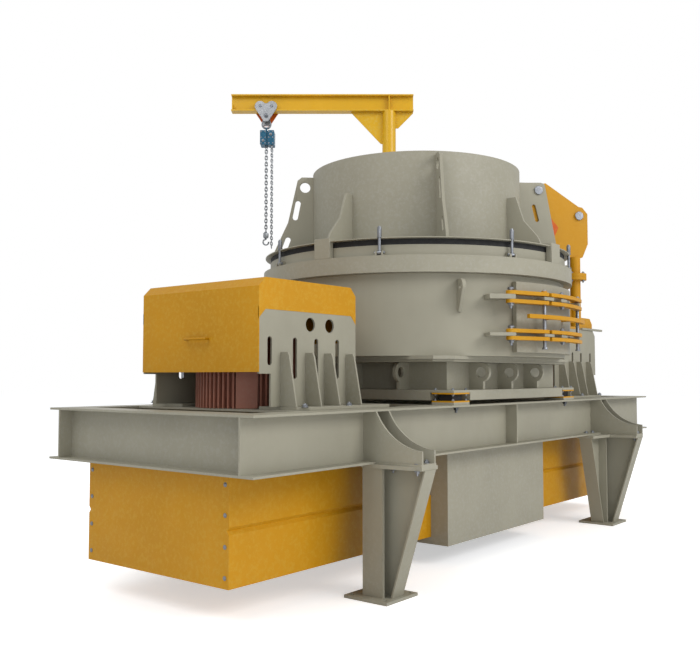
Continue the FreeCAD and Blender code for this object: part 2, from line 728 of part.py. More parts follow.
housing = turned("Housing", [(0, box_z + 20), (190, box_z + 20), (190, box_z + 60),
                             (230, box_z + 60), (230, box_z + 380), (170, box_z + 430),
                             (0, box_z + 430)])
arm_x = block("ArmX", -D.box_x + D.box_t, -15, box_z + 30, 2 * (D.box_x - D.box_t), 30, 170)
arm_y = block("ArmY", -15, -D.box_y + D.box_t, box_z + 30, 30, 2 * (D.box_y - D.box_t), 170)
node("bearing_housing", fuse("HousingFull", housing, arm_x, arm_y))
rotor_z = box_z + 430
rotor = body("Rotor")
rotor_sketch = sketch(rotor, "XZ")
outline(rotor_sketch, [(0, rotor_z), (150, rotor_z), (200, rotor_z + 40), (480, rotor_z + 40),
                       (480, rotor_z + 70), (440, rotor_z + 70), (440, rotor_z + 320),
                       (480, rotor_z + 320), (480, rotor_z + 350), (200, rotor_z + 350),
                       (200, rotor_z + 240), (0, rotor_z + 300)])
revolve(rotor, rotor_sketch)
port = sketch(rotor, "YZ", 250)
rectangle(port, -90, rotor_z + 110, 90, rotor_z + 290)
port_cut = pocket(rotor, port, 300, reverse=True)
polar(rotor, port_cut, 3)
node("rotor", rotor)

# Crushing chamber with its doorway, lifting wedges and hinge arms

shell_in = D.shell_r - D.shell_t
band_z = shell_z + D.shell_h
wall = turned("ShellWall", [(D.deck_hole_r, shell_z), (D.shell_r, shell_z), (D.shell_r, band_z),
                            (shell_in, band_z), (shell_in, shell_z + D.shell_t),
                            (D.deck_hole_r, shell_z + D.shell_t)])


def sector(label, r0, r1, a0, a1, z, h):
    """A curved plate between two radii and two angles."""
    owner = body(label)
    shape = sketch(owner, "XY", z)
    outline(shape, [(r0 * cosd(a0), r0 * sind(a0)), (r1 * cosd(a0), r1 * sind(a0)),
                    (r1 * cosd(a1), r1 * sind(a1)), (r0 * cosd(a1), r0 * sind(a1))],
            bows={1: r1, 3: -r0})
    pad(owner, shape, h)
    return owner


doorway = sector("Doorway", shell_in - 40, D.shell_r + 40, D.door_a0 + D.way_in,
                 D.door_a1 - D.way_in, D.way_z0, D.way_h)
pierced = cut("PiercedWall", wall, doorway)
wedge = plate("Wedge", "XZ", [(D.shell_r - 4, band_z - 300), (D.shell_r + 12, band_z - 300),
                              (D.shell_r + 64, band_z - 70), (D.shell_r + 64, band_z - 51),
                              (D.shell_r - 4, band_z - 51)], 0, 66, both=True)
wedges = [turn("Wedge%d" % i, wedge, a) for i, a in enumerate((-130.6, 49.4, 139.4))]
pin_x, pin_y = D.hinge_r * cosd(D.hinge_a), D.hinge_r * sind(D.hinge_a)


def hinge_arm(label, middle):
    """A horizontal arm from the shell to round the hinge pin."""
    owner = body(label)
    shape = sketch(owner, "XY", middle - D.arm_t / 2)
    near = D.shell_r - 6
    outline(shape, [(near * cosd(-127), near * sind(-127)),
                    (near * cosd(-119.5), near * sind(-119.5)),
                    (pin_x + 34, pin_y + 22), (pin_x + 20, pin_y - 36), (pin_x - 30, pin_y - 28)],
            bows={2: 45, 3: 45})
    circle(shape, pin_x, pin_y, D.pin_r)
    pad(owner, shape, D.arm_t)
    return owner


arms = [hinge_arm("ArmHigh", D.arm_high), hinge_arm("ArmLow", D.arm_low)]
node("chamber_shell", fuse("Shell", pierced, *(wedges + arms)))
pins = []
for label, middle, gap in (("PinHigh", D.arm_high, D.link_off), ("PinLow", D.arm_low,
                                                                D.link_off_low)):
    reach = gap + D.link_t / 2 + 8
    pins.append(rod(label, pin_x, pin_y, middle - reach, D.pin_r, 2 * reach))
    pins.append(rod(label + "Head", pin_x, pin_y, middle + reach, 22, 12))
node("hinge_pins", fuse("HingePins", *pins))

# Clamp band, upper ring with clevis lugs, and the lid seal

ring_z = band_z + D.band_h
seal_z = ring_z + D.ring_h
lid_z = seal_z + D.seal_h
band = turned("Band", [(D.ring_in_r, band_z), (D.band_r, band_z), (D.band_r, ring_z),
                       (D.ring_r, ring_z), (D.ring_r, seal_z), (D.ring_in_r, seal_z)])
bolt_z = ring_z + D.bolt_pin_up
ear = body("Ear")
ear_sketch = sketch(ear, "XZ", D.clevis_gap / 2)
outline(ear_sketch, [(D.ring_r - 3, ring_z - 2), (D.band_r - 2, ring_z - 2),
                     (D.band_r - 2, bolt_z), (D.bolt_pin_r - 10, bolt_z + 20),
                     (D.ring_r - 3, bolt_z + 20)])
circle(ear_sketch, D.bolt_pin_r, bolt_z, 6)
ear_pad = pad(ear, ear_sketch, D.clevis_t)
ear_pad.Reversed = True
ears = group("Ears", ear, mirror("EarBack", ear, Y_WAY))
ear_set = [turn("Ears%d" % i, ears, 22.5 + 45 * i) for i in range(8)]
node("clamp_ring", fuse("ClampRing", band, *ear_set))
node("seal_ring", ring("Seal", D.ring_in_r, D.seal_r, seal_z, D.seal_h))

# Lid, hopper, lugs and fins

lid_top = lid_z + D.lid_t
lid = body("Lid")
lid_sketch = sketch(lid, "XZ")
outline(lid_sketch, [(D.feed_r, lid_z), (D.lid_r, lid_z), (D.lid_r, lid_top),
                     (D.feed_r, lid_top)])
revolve(lid, lid_sketch)
slot = sketch(lid, "XY", lid_top)
outline(slot, [(D.bolt_pin_r, -D.slot_r), (D.lid_r + 20, -D.slot_r), (D.lid_r + 20, D.slot_r),
               (D.bolt_pin_r, D.slot_r)], bows={3: D.slot_r * 1.001})
slot_cut = pocket(lid, slot, 2 * D.lid_t)
polar(lid, slot_cut, 8)
lid_turned = turn("LidTurned", lid, 22.5)
tab = plate("Tab", "XZ", [(D.lid_r - 6, lid_z), (D.band_r + 12, lid_z),
                          (D.band_r + 12, ring_z - 10), (D.band_r + 27, ring_z - 10),
                          (D.band_r + 52, lid_top + 12), (D.band_r + 52, lid_top + 21),
                          (D.lid_r - 6, lid_top + 8)], 0, D.tab_w, both=True)
tabs = [turn("Tab%d" % i, tab, 90 * i) for i in range(4)]
node("lid_plate", fuse("LidPlate", lid_turned, *tabs))
rim_z = lid_top + D.hopper_h
node("hopper_shell", ring("Hopper", D.hopper_r - D.hopper_t, D.hopper_r, lid_top, D.hopper_h))


def lug_body(label, points, bows, holes, thick):
    owner = body(label)
    shape = sketch(owner, "XZ")
    outline(shape, points, bows)
    for where in holes:
        if len(where) == 3:
            circle(shape, *where)
    pad(owner, shape, thick, both=True)
    for where in holes:
        if len(where) == 5:
            x0, z0, x1, z1, r = where
            along = math.hypot(x1 - x0, z1 - z0)
            ux, uz = (x1 - x0) / along, (z1 - z0) / along
            gap = sketch(owner, "XZ")
            outline(gap, [(x0 + uz * r, z0 - ux * r), (x0 - uz * r, z0 + ux * r),
                          (x1 - uz * r, z1 + ux * r), (x1 + uz * r, z1 - ux * r)],
                    bows={0: r * 1.001, 2: r * 1.001})
            pocket(owner, gap, 2 * thick, both=True)
    return owner


tall_points = [(D.hopper_r, lid_top), (1275, lid_top), (1258, 2507), (1223, 2587), (1141, 2766),
               (1058, 3142), (1020, rim_z - 28), (D.hopper_r, rim_z - 28)]
tall = lug_body("TallLug", tall_points, {}, [(990, 3082, 46)], D.lug_t)
wide_points = [(D.hopper_r, lid_top), (1275, lid_top), (1290, 2540), (1290, 2631), (1215, 2760),
               (1172, 3110), (1128, 3148), (1020, rim_z - 28), (D.hopper_r, rim_z - 28)]
wide = lug_body("WideLug", wide_points, {}, [(1128, 3104, 16)], D.lug_t)
fin = lug_body("Fin", [(D.hopper_r, lid_top), (1230, lid_top), (1205, 2519), (1187, 2550),
                       (1070, 2685), (1000, 2890), (D.hopper_r, 2890)], {}, [], D.fin_t)
lugs = [turn("Tall%d" % i, tall, a) for i, a in enumerate((45, 135, -135))]
lugs.append(turn("WideTurned", wide, -45))
lugs += [turn("Fin%d" % i, fin, 90 * i) for i in range(4)]
node("hopper_lugs", group("HopperLugs", *lugs))

# Swing bolts: an eye on the clevis pin, a shank, a nut and the cross pin

bolt = turned("Bolt", [(0, bolt_z), (D.bolt_r, bolt_z), (D.bolt_r, lid_top), (D.nut_r, lid_top),
                       (D.nut_r, lid_top + D.nut_h - 4), (D.nut_r - 4, lid_top + D.nut_h),
                       (D.bolt_r, lid_top + D.nut_h), (D.bolt_r, D.bolt_top), (0, D.bolt_top)])
eye = rod_along("Eye", "Y", 0, 0, bolt_z, 15, D.clevis_gap - 8)
cross_pin = rod_along("CrossPin", "Y", 0, 0, bolt_z, 5, D.clevis_gap + 2 * D.clevis_t)
bolt_all = fuse("BoltAll", bolt, eye, cross_pin)
bolt_out = shift("BoltOut", bolt_all, D.bolt_pin_r, 0, 0)
for i in range(8):
    node("swing_bolt_%d" % (i + 1), turn("SwingBolt%d" % i, bolt_out, 22.5 + 45 * i))

# Lid lifter: a fixed post on the shell and a ram that carries the lid arm

post_bore = D.ram_r + D.ram_clear
post = turned("Post", [(post_bore, D.post_z0), (D.post_out, D.post_z0),
                       (D.post_out, D.post_z1 - D.post_flange_t),
                       (D.post_flange_r, D.post_z1 - D.post_flange_t),
                       (D.post_flange_r, D.post_z1), (post_bore, D.post_z1)])
post_at = shift("PostAt", post, D.post_r, 0, 0)
hanger = plate("Hanger", "XZ", [(D.shell_r, 1840), (D.shell_r + 90, 1869),
                                (D.post_r - D.post_out + 5, 1900),
                                (D.post_r - D.post_out + 5, 2150), (D.shell_r, 2150)],
               0, 30, both=True)
shelf = block("Shelf", D.shell_r, -55, 2120, D.post_r - D.shell_r - D.post_out + 5, 110, 20)
shelf_low = block("ShelfLow", D.shell_r, -55, 1900,
                  D.post_r - D.shell_r - D.post_out + 5, 110, 20)
holder = fuse("Holder", hanger, shelf, shelf_low, post_at)
node("lifter_bracket", turn("LifterBracket", holder, -45))
ram = turned("Ram", [(0, D.post_z0 + 30), (D.ram_r, D.post_z0 + 30), (D.ram_r, D.post_z1),
                     (D.post_flange_r, D.post_z1), (D.post_flange_r, D.post_z1 + D.post_flange_t),
                     (D.post_out, D.post_z1 + D.post_flange_t), (D.post_out, D.post_top),
                     (0, D.post_top)])
ram_at = shift("RamAt", ram, D.post_r, 0, 0)
arm_points = [(1184, 3177), (1100, 3130), (1100, 3075), (1180, 3060), (1232, 2865), (1321, 2765),
              (1455, 2600), (1460, D.post_top - 8), (1540, D.post_top - 8), (1558, 2516),
              (1593, 2632), (1593, 2904), (1541, 2959), (1508, 2963), (1213, 3173)]
arm_plate = plate("ArmPlate", "XZ", arm_points, D.lug_t / 2 + 5, 16)
arm_plate_front = mirror("ArmPlateFront", arm_plate, Y_WAY)
arm_back = shift("ArmBack", arm_plate, 0, 16, 0)
arm_fore = mirror("ArmFore", arm_back, Y_WAY)
lid_pin = rod_along("LidPin", "Y", 1128, 0, 3104, 16, 90)
arm_pin = rod_along("ArmPin", "Y", 1512, 0, 2877, 42, 90)
lifter = fuse("Lifter", ram_at, arm_back, arm_fore, lid_pin, arm_pin)
node("lifter_arm", turn("LifterArm", lifter, -45))

# Door: links from the hinge pins to a long rod, and the curved door on that rod

rod_x, rod_y = D.hinge_r * cosd(D.rod_a), D.hinge_r * sind(D.rod_a)


def link(label, z):
    """A strap with round ends, from the hinge pin to the link rod."""
    dx, dy = rod_x.value - pin_x.value, rod_y.value - pin_y.value
    far = math.hypot(dx, dy)
    nx, ny = dy / far, -dx / far
    r = D.link_r
    owner = body(label)
    shape = sketch(owner, "XY", z)
    outline(shape, [(pin_x + r * nx, pin_y + r * ny), (rod_x + r * nx, rod_y + r * ny),
                    (rod_x - r * nx, rod_y - r * ny), (pin_x - r * nx, pin_y - r * ny)],
            bows={1: r * 1.001, 3: r * 1.001})
    circle(shape, pin_x, pin_y, D.pin_r + D.pin_clear)
    pad(owner, shape, D.link_t)
    return owner


link_levels = (D.arm_high + D.link_off, D.arm_high - D.link_off,
               D.arm_low + D.link_off_low, D.arm_low - D.link_off_low)
links = [link("Link%d" % i, z - D.link_t / 2) for i, z in enumerate(link_levels)]
long_rod = rod("LongRod", rod_x, rod_y, 1640, D.pin_r, 415)
rod_head = rod("RodHead", rod_x, rod_y, 2054, 22, 14)
node("door_links", fuse("DoorLinks", long_rod, rod_head, *links))
door_in = D.shell_r + D.door_in
door_out = D.shell_r + D.door_in + D.door_t
node("door_plate", sector("Door", door_in, door_out, D.door_a0, D.door_a1, D.door_z0, D.door_h))


def strap(label, middle, thick):
    """A curved strap on the door, bored for the rods at both ends."""
    owner = body(label)
    shape = sketch(owner, "XY", middle - thick / 2)
    r0, r1 = door_out, D.hinge_r + 32
    outline(shape, [(r0 * cosd(-103.2), r0 * sind(-103.2)), (r1 * cosd(-103), r1 * sind(-103)),
                    (r1 * cosd(-72), r1 * sind(-72)), (r0 * cosd(-70.5), r0 * sind(-70.5))],
            bows={1: r1, 3: -r0})
    circle(shape, rod_x, rod_y, D.pin_r + D.pin_clear)
    pad(owner, shape, thick)
    return owner


rod2_x, rod2_y = D.hinge_r * cosd(D.rod2_a), D.hinge_r * sind(D.rod2_a)
bolt_x, bolt_y = D.hinge_r * cosd(-90.8), D.hinge_r * sind(-90.8)
far_rod = rod("FarRod", rod2_x, rod2_y, 1650, D.pin_r, 390)
far_head = rod("FarHead", rod2_x, rod2_y, 2040, 22, 12)
short_high = rod("ShortHigh", bolt_x, bolt_y, D.arm_high - 40, 12, 80)
short_low = rod("ShortLow", bolt_x, bolt_y, D.arm_low - 40, 12, 80)
straps = fuse("Straps", strap("StrapHigh", D.arm_high, size(26)),
              strap("StrapLow", D.arm_low, size(20)), far_rod, far_head, short_high, short_low)
node("door_straps", straps)
slope = -0.135
bar_z = 1850
bar = body("Bar")
bar_sketch = sketch(bar, "XY", bar_z)
outline(bar_sketch, [(rod_x - 215, rod_y + 8), (rod_x - 215, rod_y + 48), (rod_x + 834, rod_y - 93),
                     (rod_x + 834, rod_y - 133), (rod_x, rod_y - 30)])
circle(bar_sketch, rod_x, rod_y, D.pin_r + D.pin_clear)
pad(bar, bar_sketch, 32)
stays = []
for i, at in enumerate((-97, -84)):
    stay = plate("Stay%d" % i, "XZ", [(door_out, bar_z + 4), (D.hinge_r + 22, bar_z + 4),
                                      (D.hinge_r + 22, bar_z + 28), (door_out, bar_z + 28)],
                 0, 40, both=True)
    stays.append(turn("StayTurned%d" % i, stay, at))
node("door_handle", fuse("Handle", bar, *stays))

# Motor cradles: a base plate with two ribbed cheeks

cheek_in, cheek_out, top = D.cheek_in_x, D.cheek_out_x, D.cheek_top
cradle_z = D.frame_top + D.cradle_t
cradle = body("CradlePlate")
cradle_sketch = sketch(cradle, "XY", D.frame_top)
outline(cradle_sketch, [(-D.cradle_x1, -D.cradle_y + 60), (-D.cradle_x1 + 60, -D.cradle_y),
                        (-D.cradle_x0, -D.cradle_y), (-D.cradle_x0, D.cradle_y),
                        (-D.cradle_x1 + 60, D.cradle_y), (-D.cradle_x1, D.cradle_y - 60)])
circle(cradle_sketch, -D.motor_x, 0, D.guard_hole_r)
pad(cradle, cradle_sketch, D.cradle_t)


def cheek(label, outer, high, slots, eyes):
    """One cheek in the XZ plane at y = 0, cut by slots and lifting holes."""
    owner = body(label)
    shape = sketch(owner, "XZ")
    outline(shape, [(-D.cheek_notch_x, cradle_z), (-cheek_in, cradle_z), (-cheek_in, high - 55),
                    (-cheek_in - 55, high), (-outer + 55, high), (-outer, high - 55),
                    (-outer, D.cheek_notch_z), (-D.cheek_notch_x, D.cheek_notch_z)])
    for x, z in eyes:
        circle(shape, x, z, D.eye_r)
    pad(owner, shape, D.cheek_t)
    w = D.slot_w / 2
    for x, z0, z1 in slots:
        gap = sketch(owner, "XZ")
        outline(gap, [(x - w, z0 + 20), (x + w, z0 + 20), (x + w, z1 - 20), (x - w, z1 - 20)],
                bows={0: w * 1.001, 2: w * 1.001})
        pocket(owner, gap, 3 * D.cheek_t, both=True)
    return owner


slots = ((-2448, 1484, 1664), (-2214, 1398, 1664), (-2004, 1398, 1664), (-1786, 1398, 1663))
eyes = ((-2064, 1755), (-1867, 1755))
plain = cheek("PlainCheek", cheek_out, top, slots, eyes)
tall_cheek = cheek("TallCheek", D.tall_x, D.tall_top, slots[1:], eyes)
ribs = []
for i, x in enumerate((-2344, -2107, -1918, -1688)):
    rib = plate("Rib%d" % i, "YZ", [(0, cradle_z), (136, cradle_z), (74, 1543), (62, 1568),
                                    (0, 1568)], x - D.rib_t / 2, D.rib_t)
    ribs.append(rib)
rib_set = group("RibSet", *ribs)
rib_back = shift("RibBack", rib_set, 0, D.cheek_y, 0)
rib_fore_source = mirror("RibForeSource", rib_set, Y_WAY)
rib_fore = shift("RibFore", rib_fore_source, 0, -D.cheek_y, 0)
plain_at = shift("PlainAt", plain, 0, -(D.cheek_y - D.cheek_t), 0)
tall_at = shift("TallAt", tall_cheek, 0, D.cheek_y + D.cheek_t, 0)
shelf_plate = block("ShelfPlate", -2757, D.cheek_y, D.tall_top, 522, 120, 22)
cradle_left = fuse("CradleLeft", cradle, plain_at, tall_at, rib_back, rib_fore, shelf_plate)
node("motor_cradle_left", cradle_left)
node("motor_cradle_right", turn("CradleRight", cradle_left, 180))

# Motor hoods: folded sheet closed at both ends

t = D.hood_t
hx0, hx1, hz = D.hood_x0, D.hood_x1, D.hood_z
hood = body("Hood")
hood_sketch = sketch(hood, "XZ")
outline(hood_sketch, [(-hx1, top), (-hx0, top), (-hx0, D.hood_cut_z), (-hx0 - 57, hz),
                      (-hx1 + 59, hz), (-hx1, D.hood_cut_z)])
pad(hood, hood_sketch, 2 * D.cheek_y, both=True)
inside = sketch(hood, "XZ")
outline(inside, [(-hx1 + t, top - 10), (-hx0 - t, top - 10), (-hx0 - t, D.hood_cut_z - 3),
                 (-hx0 - 57 - 3, hz - t), (-hx1 + 59 + 3, hz - t), (-hx1 + t, D.hood_cut_z - 3)])
pocket(hood, inside, 2 * (D.cheek_y - t), both=True)
end_panel = block("EndPanel", -hx1, -D.cheek_y, D.hood_low, t, 2 * D.cheek_y, top - D.hood_low)
in_panel = block("InPanel", -hx0 - t, -D.cheek_y + D.cheek_t, 1650, t,
                 2 * (D.cheek_y - D.cheek_t), top - 1650)
hood_all = fuse("HoodAll", hood, end_panel, in_panel)
node("hood_left", hood_all)
node("hood_right", turn("HoodRight", hood_all, 180))

# Vertical motors with cooling fins

motor = body("Motor")
motor_sketch = sketch(motor, "XZ")
mz, mh, mr = D.motor_z0, D.motor_h, D.motor_r
outline(motor_sketch, [(0, mz - 33), (mr - 20, mz - 33), (mr - 20, mz), (mr, mz), (mr, mz + mh),
                       (mr + 25, mz + mh), (mr + 25, mz + mh + 70), (mr - 40, mz + mh + 130),
                       (0, mz + mh + 130)])
revolve(motor, motor_sketch)
blade = sketch(motor, "XY", mz + 20)
rectangle(blade, mr - 5, -4, mr + D.fin_h, 4)
blade_pad = pad(motor, blade, mh - 40)
polar(motor, blade_pad, 36)
terminal = block("Terminal", -mr - 60, -170, mz + 190, 160, 340, 260)
shaft = rod("Shaft", 0, 0, mz - 120, 45, 120)
motor_all = fuse("MotorAll", motor, terminal, shaft)
node("motor_left", shift("MotorLeft", motor_all, -D.motor_x, 0, 0))
node("motor_right", turn("MotorRight", NODES["motor_left"], 180))

# Jib: a socket on the rear beam, a post, an I beam with gussets, and the trolley

jx, jy = D.jib_x, D.jib_y
socket = turned("Socket", [(0, D.frame_low), (D.socket_r, D.frame_low),
                           (D.socket_r, D.socket_top), (D.jib_r + D.jib_clear, D.socket_top),
                           (D.jib_r + D.jib_clear, D.frame_low + 20), (0, D.frame_low + 20)])
socket_at = shift("SocketAt", socket, jx, jy, 0)
reach_y = jy - D.socket_r + 8
stays = []
for i, z in enumerate((floor_z, 1080)):
    stays.append(block("Stay%s" % i, jx - 110, web_y, z, 220, reach_y - web_y, 20))
side_a = block("SideA", jx - 110, flange_y, D.frame_low, 16, jy - flange_y, 343)
side_b = block("SideB", jx + 94, flange_y, D.frame_low, 16, jy - flange_y, 343)
back = block("Back", jx - 110, jy - 8, D.frame_low, 220, 16, 343)
shim = block("Shim", jx - 110, flange_y, D.frame_low, 220, jy - flange_y, 20)
node("jib_socket", cut("JibSocket", fuse("SocketAll", socket_at, side_a, side_b, back, shim,
                                         *stays), rod("SocketBore", jx, jy, D.frame_low + 20,
                                                      D.jib_r + D.jib_clear, 700)))
mast_z = D.frame_low + 20.5
mast = turned("Mast", [(0, mast_z), (D.jib_r, mast_z), (D.jib_r, D.socket_top + 6),
                       (D.socket_r, D.socket_top + 6), (D.socket_r, D.socket_top + 26),
                       (D.jib_r, D.socket_top + 26), (D.jib_r, D.jib_z), (0, D.jib_z)])
jib_angle = 128.62


def on_jib(label, thing):
    """Turn a piece made along X to the jib direction and move it to the post."""
    placed = turn(label, thing, jib_angle)
    for prop, amount in (("x", jx), ("y", jy)):
        bind(placed, "Placement.Base." + prop, amount)
    return placed


gusset_front = plate("GussetFront", "XZ", [(D.jib_r - 3, D.jib_z - 350), (90, D.jib_z - 350),
                                           (417, D.jib_z), (D.jib_r - 3, D.jib_z)],
                     0, 12, both=True)
gusset_back = plate("GussetBack", "XZ", [(-D.jib_r + 3, D.jib_z - 179), (-99, D.jib_z - 179),
                                         (-261, D.jib_z - 13), (-261, D.jib_z),
                                         (-D.jib_r + 3, D.jib_z)], 0, 12, both=True)
node("jib_mast", on_jib("JibMast", fuse("MastAll", mast, gusset_front, gusset_back)))
jw, jt, jh = D.jib_beam_w / 2, D.jib_flange_t, D.jib_beam_h
jib_web = D.jib_web_t / 2
jib_beam = plate("JibBeamSource", "YZ", [
    (-jw, D.jib_z), (jw, D.jib_z), (jw, D.jib_z + jt), (jib_web, D.jib_z + jt),
    (jib_web, D.jib_z + jh - jt), (jw, D.jib_z + jh - jt), (jw, D.jib_z + jh),
    (-jw, D.jib_z + jh), (-jw, D.jib_z + jh - jt), (-jib_web, D.jib_z + jh - jt),
    (-jib_web, D.jib_z + jt), (-jw, D.jib_z + jt)], -D.jib_back, D.jib_back + D.jib_reach)
jib_stiff = block("JibStiff", -6, -jw + 4, D.jib_z + jt, 12, 2 * jw - 8, jh - 2 * jt)
stop = block("JibStop", D.jib_reach - 20, -jw + 4, D.jib_z + jt, 12, 2 * jw - 8, 60)
node("jib_beam", on_jib("JibBeam", fuse("JibBeamAll", jib_beam, jib_stiff, stop)))

ts = D.trolley_s
side = plate("TrolleySide", "XZ", [(ts - 60, D.jib_z - 100), (ts + 60, D.jib_z - 100),
                                   (ts + 116, D.jib_z + 40), (ts + 100, D.jib_z + 100),
                                   (ts - 100, D.jib_z + 100), (ts - 116, D.jib_z + 40)],
             jw + 18, 10)
side_low = mirror("TrolleySideFront", side, Y_WAY)
wheels = []
wheel_z = D.jib_z + jt + D.wheel_gap + D.wheel_r
for i, s in enumerate((-70, 70)):
    wheels.append(rod_along("Wheel%d" % i, "Y", ts + s, jw - 16, wheel_z, D.wheel_r, 40))
wheel_set = group("WheelSet", *wheels)
wheels_front = mirror("WheelsFront", wheel_set, Y_WAY)
axle = rod_along("Axle", "Y", ts, 0, D.jib_z - 60, 18, 2 * (jw + 8))
hanger_plate = block("HangerPlate", ts - 40, -10, D.jib_z - 148, 80, 20, 100)
trolley = fuse("Trolley", side, side_low, wheel_set, wheels_front, axle, hanger_plate)
node("trolley", on_jib("TrolleyAt", trolley))

hoist_body = body("Hoist")
hoist_sketch = sketch(hoist_body, "XZ")
circle(hoist_sketch, ts - 13, 3984, 82)
pad(hoist_body, hoist_sketch, 130, both=True)
hoist_cover = rod_along("HoistCover", "Y", ts - 13, 0, 3984, 56, 180)
hoist_hook = turned("HoistHook", [(0, 4050), (18, 4050), (12, 4080), (12, 4110), (20, 4120),
                                  (20, 4135.6), (0, 4135.6)])
hoist_hook_at = shift("HoistHookAt", hoist_hook, ts, 0, 0)
node("hoist", on_jib("HoistAt", fuse("HoistAll", hoist_body, hoist_cover, hoist_hook_at)))
chain = rod("Chain", ts, 0, 2950, 8, 951.8)
hook_block = turned("HookBlock", [(0, 2900), (26, 2900), (30, 2920), (30, 2960), (12, 2975),
                                  (0, 2975)])
hook_block_at = shift("HookBlockAt", hook_block, ts, 0, 0)
hook = body("Hook")
hook_sketch = sketch(hook, "XZ")
outline(hook_sketch, [(ts - 10, 2905), (ts - 12, 2890), (ts + 12, 2870), (ts - 4, 2842),
                      (ts - 26, 2856), (ts - 44, 2856), (ts - 8, 2822), (ts + 34, 2860),
                      (ts + 10, 2905)], bows={2: -24, 5: 36, 6: 36})
pad(hook, hook_sketch, 22, both=True)
node("load_chain", on_jib("LoadChain", fuse("LoadChainAll", chain, hook_block_at, hook)))
hand_a = rod("HandA", ts - 60, 20, 2790, 5, 1123)
hand_b = rod("HandB", ts - 60, -20, 2790, 5, 1123)
hand_turn = rod_along("HandTurn", "Y", ts - 60, 0, 2790, 5, 50)
node("hand_chain", on_jib("HandChain", fuse("HandChainAll", hand_a, hand_b, hand_turn)))

# Check every object, then write one file for each node

doc.recompute()
faults = []
for thing in doc.Objects:
    if "Invalid" in thing.State or "Error" in thing.State:
        faults.append("%s is marked %s" % (thing.Name, thing.State))
    elif hasattr(thing, "Shape") and thing.isDerivedFrom("Part::Feature"):
        if thing.Shape.isNull() or not thing.Shape.isValid():
            faults.append("%s has no valid shape" % thing.Name)
if faults:
    raise RuntimeError("; ".join(faults[:20]))

os.makedirs("parts", exist_ok=True)
for name, thing in NODES.items():
    solids = thing.Shape.Solids
    shape = solids[0] if len(solids) == 1 else Part.makeCompound(solids)
    shape.exportStep("parts/%s.step" % name)
    print(name, len(solids), round(shape.Volume / 1e9, 5))
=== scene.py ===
import json
import math
import bmesh
import bpy
from mathutils import Matrix, Vector


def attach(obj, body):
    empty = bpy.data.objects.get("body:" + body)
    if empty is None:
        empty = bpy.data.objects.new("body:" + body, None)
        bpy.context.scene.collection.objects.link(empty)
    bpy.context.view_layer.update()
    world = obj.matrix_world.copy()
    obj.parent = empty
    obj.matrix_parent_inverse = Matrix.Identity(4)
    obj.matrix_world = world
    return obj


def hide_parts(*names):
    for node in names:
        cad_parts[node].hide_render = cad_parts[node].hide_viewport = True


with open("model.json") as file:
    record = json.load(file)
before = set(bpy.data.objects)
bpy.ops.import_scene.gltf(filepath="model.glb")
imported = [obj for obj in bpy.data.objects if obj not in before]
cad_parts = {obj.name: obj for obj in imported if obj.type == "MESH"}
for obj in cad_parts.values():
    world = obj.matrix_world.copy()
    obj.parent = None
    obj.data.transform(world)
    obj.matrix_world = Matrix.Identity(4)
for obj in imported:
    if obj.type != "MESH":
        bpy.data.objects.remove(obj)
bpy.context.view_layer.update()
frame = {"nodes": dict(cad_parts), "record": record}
nodes = frame["nodes"]
Z = Vector((0, 0, 1))


# Materials

def colour(r, g, b):
    """An sRGB colour of 0 to 255 as linear light."""
    def channel(c):
        c /= 255.0
        return c / 12.92 if c <= 0.04045 else ((c + 0.055) / 1.055) ** 2.4
    return (channel(r), channel(g), channel(b), 1.0)


class Nodes:
    """Short hand for building a material's node tree."""

    def __init__(self, name):
        self.mat = bpy.data.materials.new(name)
        self.mat.use_nodes = True
        self.tree = self.mat.node_tree
        self.shader = self.tree.nodes["Principled BSDF"]
        self.where = self.add("ShaderNodeTexCoord").outputs["Object"]

    def add(self, kind):
        return self.tree.nodes.new(kind)

    def link(self, a, b):
        self.tree.links.new(a, b)

    def noise(self, scale, detail=4.0, rough=0.55, stretch=None):
        node = self.add("ShaderNodeTexNoise")
        node.inputs["Scale"].default_value = scale
        node.inputs["Detail"].default_value = detail
        node.inputs["Roughness"].default_value = rough
        source = self.where
        if stretch:
            mapping = self.add("ShaderNodeMapping")
            mapping.inputs["Scale"].default_value = stretch
            self.link(source, mapping.inputs["Vector"])
            source = mapping.outputs["Vector"]
        self.link(source, node.inputs["Vector"])
        return node.outputs["Fac"]

    def ramp(self, fac, stops):
        node = self.add("ShaderNodeValToRGB")
        ramp = node.color_ramp
        while len(ramp.elements) < len(stops):
            ramp.elements.new(0.5)
        for element, (at, value) in zip(ramp.elements, stops):
            element.position = at
            element.color = value if len(value) == 4 else (value[0],) * 3 + (1,)
        self.link(fac, node.inputs["Fac"])
        return node.outputs["Color"]

    def mix(self, fac, a, b, mode="MIX"):
        """A colour mix; sockets 0, 6 and 7 are its factor and its two colours."""
        node = self.add("ShaderNodeMix")
        node.data_type = "RGBA"
        node.blend_type = mode
        for value, socket in ((fac, 0), (a, 6), (b, 7)):
            if isinstance(value, (float, int, tuple)):
                node.inputs[socket].default_value = value
            else:
                self.link(value, node.inputs[socket])
        return node.outputs[2]

    def bump(self, height, strength, distance):
        node = self.add("ShaderNodeBump")
        node.inputs["Strength"].default_value = strength
        node.inputs["Distance"].default_value = distance
        self.link(height, node.inputs["Height"])
        self.link(node.outputs["Normal"], self.shader.inputs["Normal"])


def tint(base, factor):
    """A colour made lighter or darker by a factor."""
    return (base[0] * factor, base[1] * factor, base[2] * factor, 1.0)


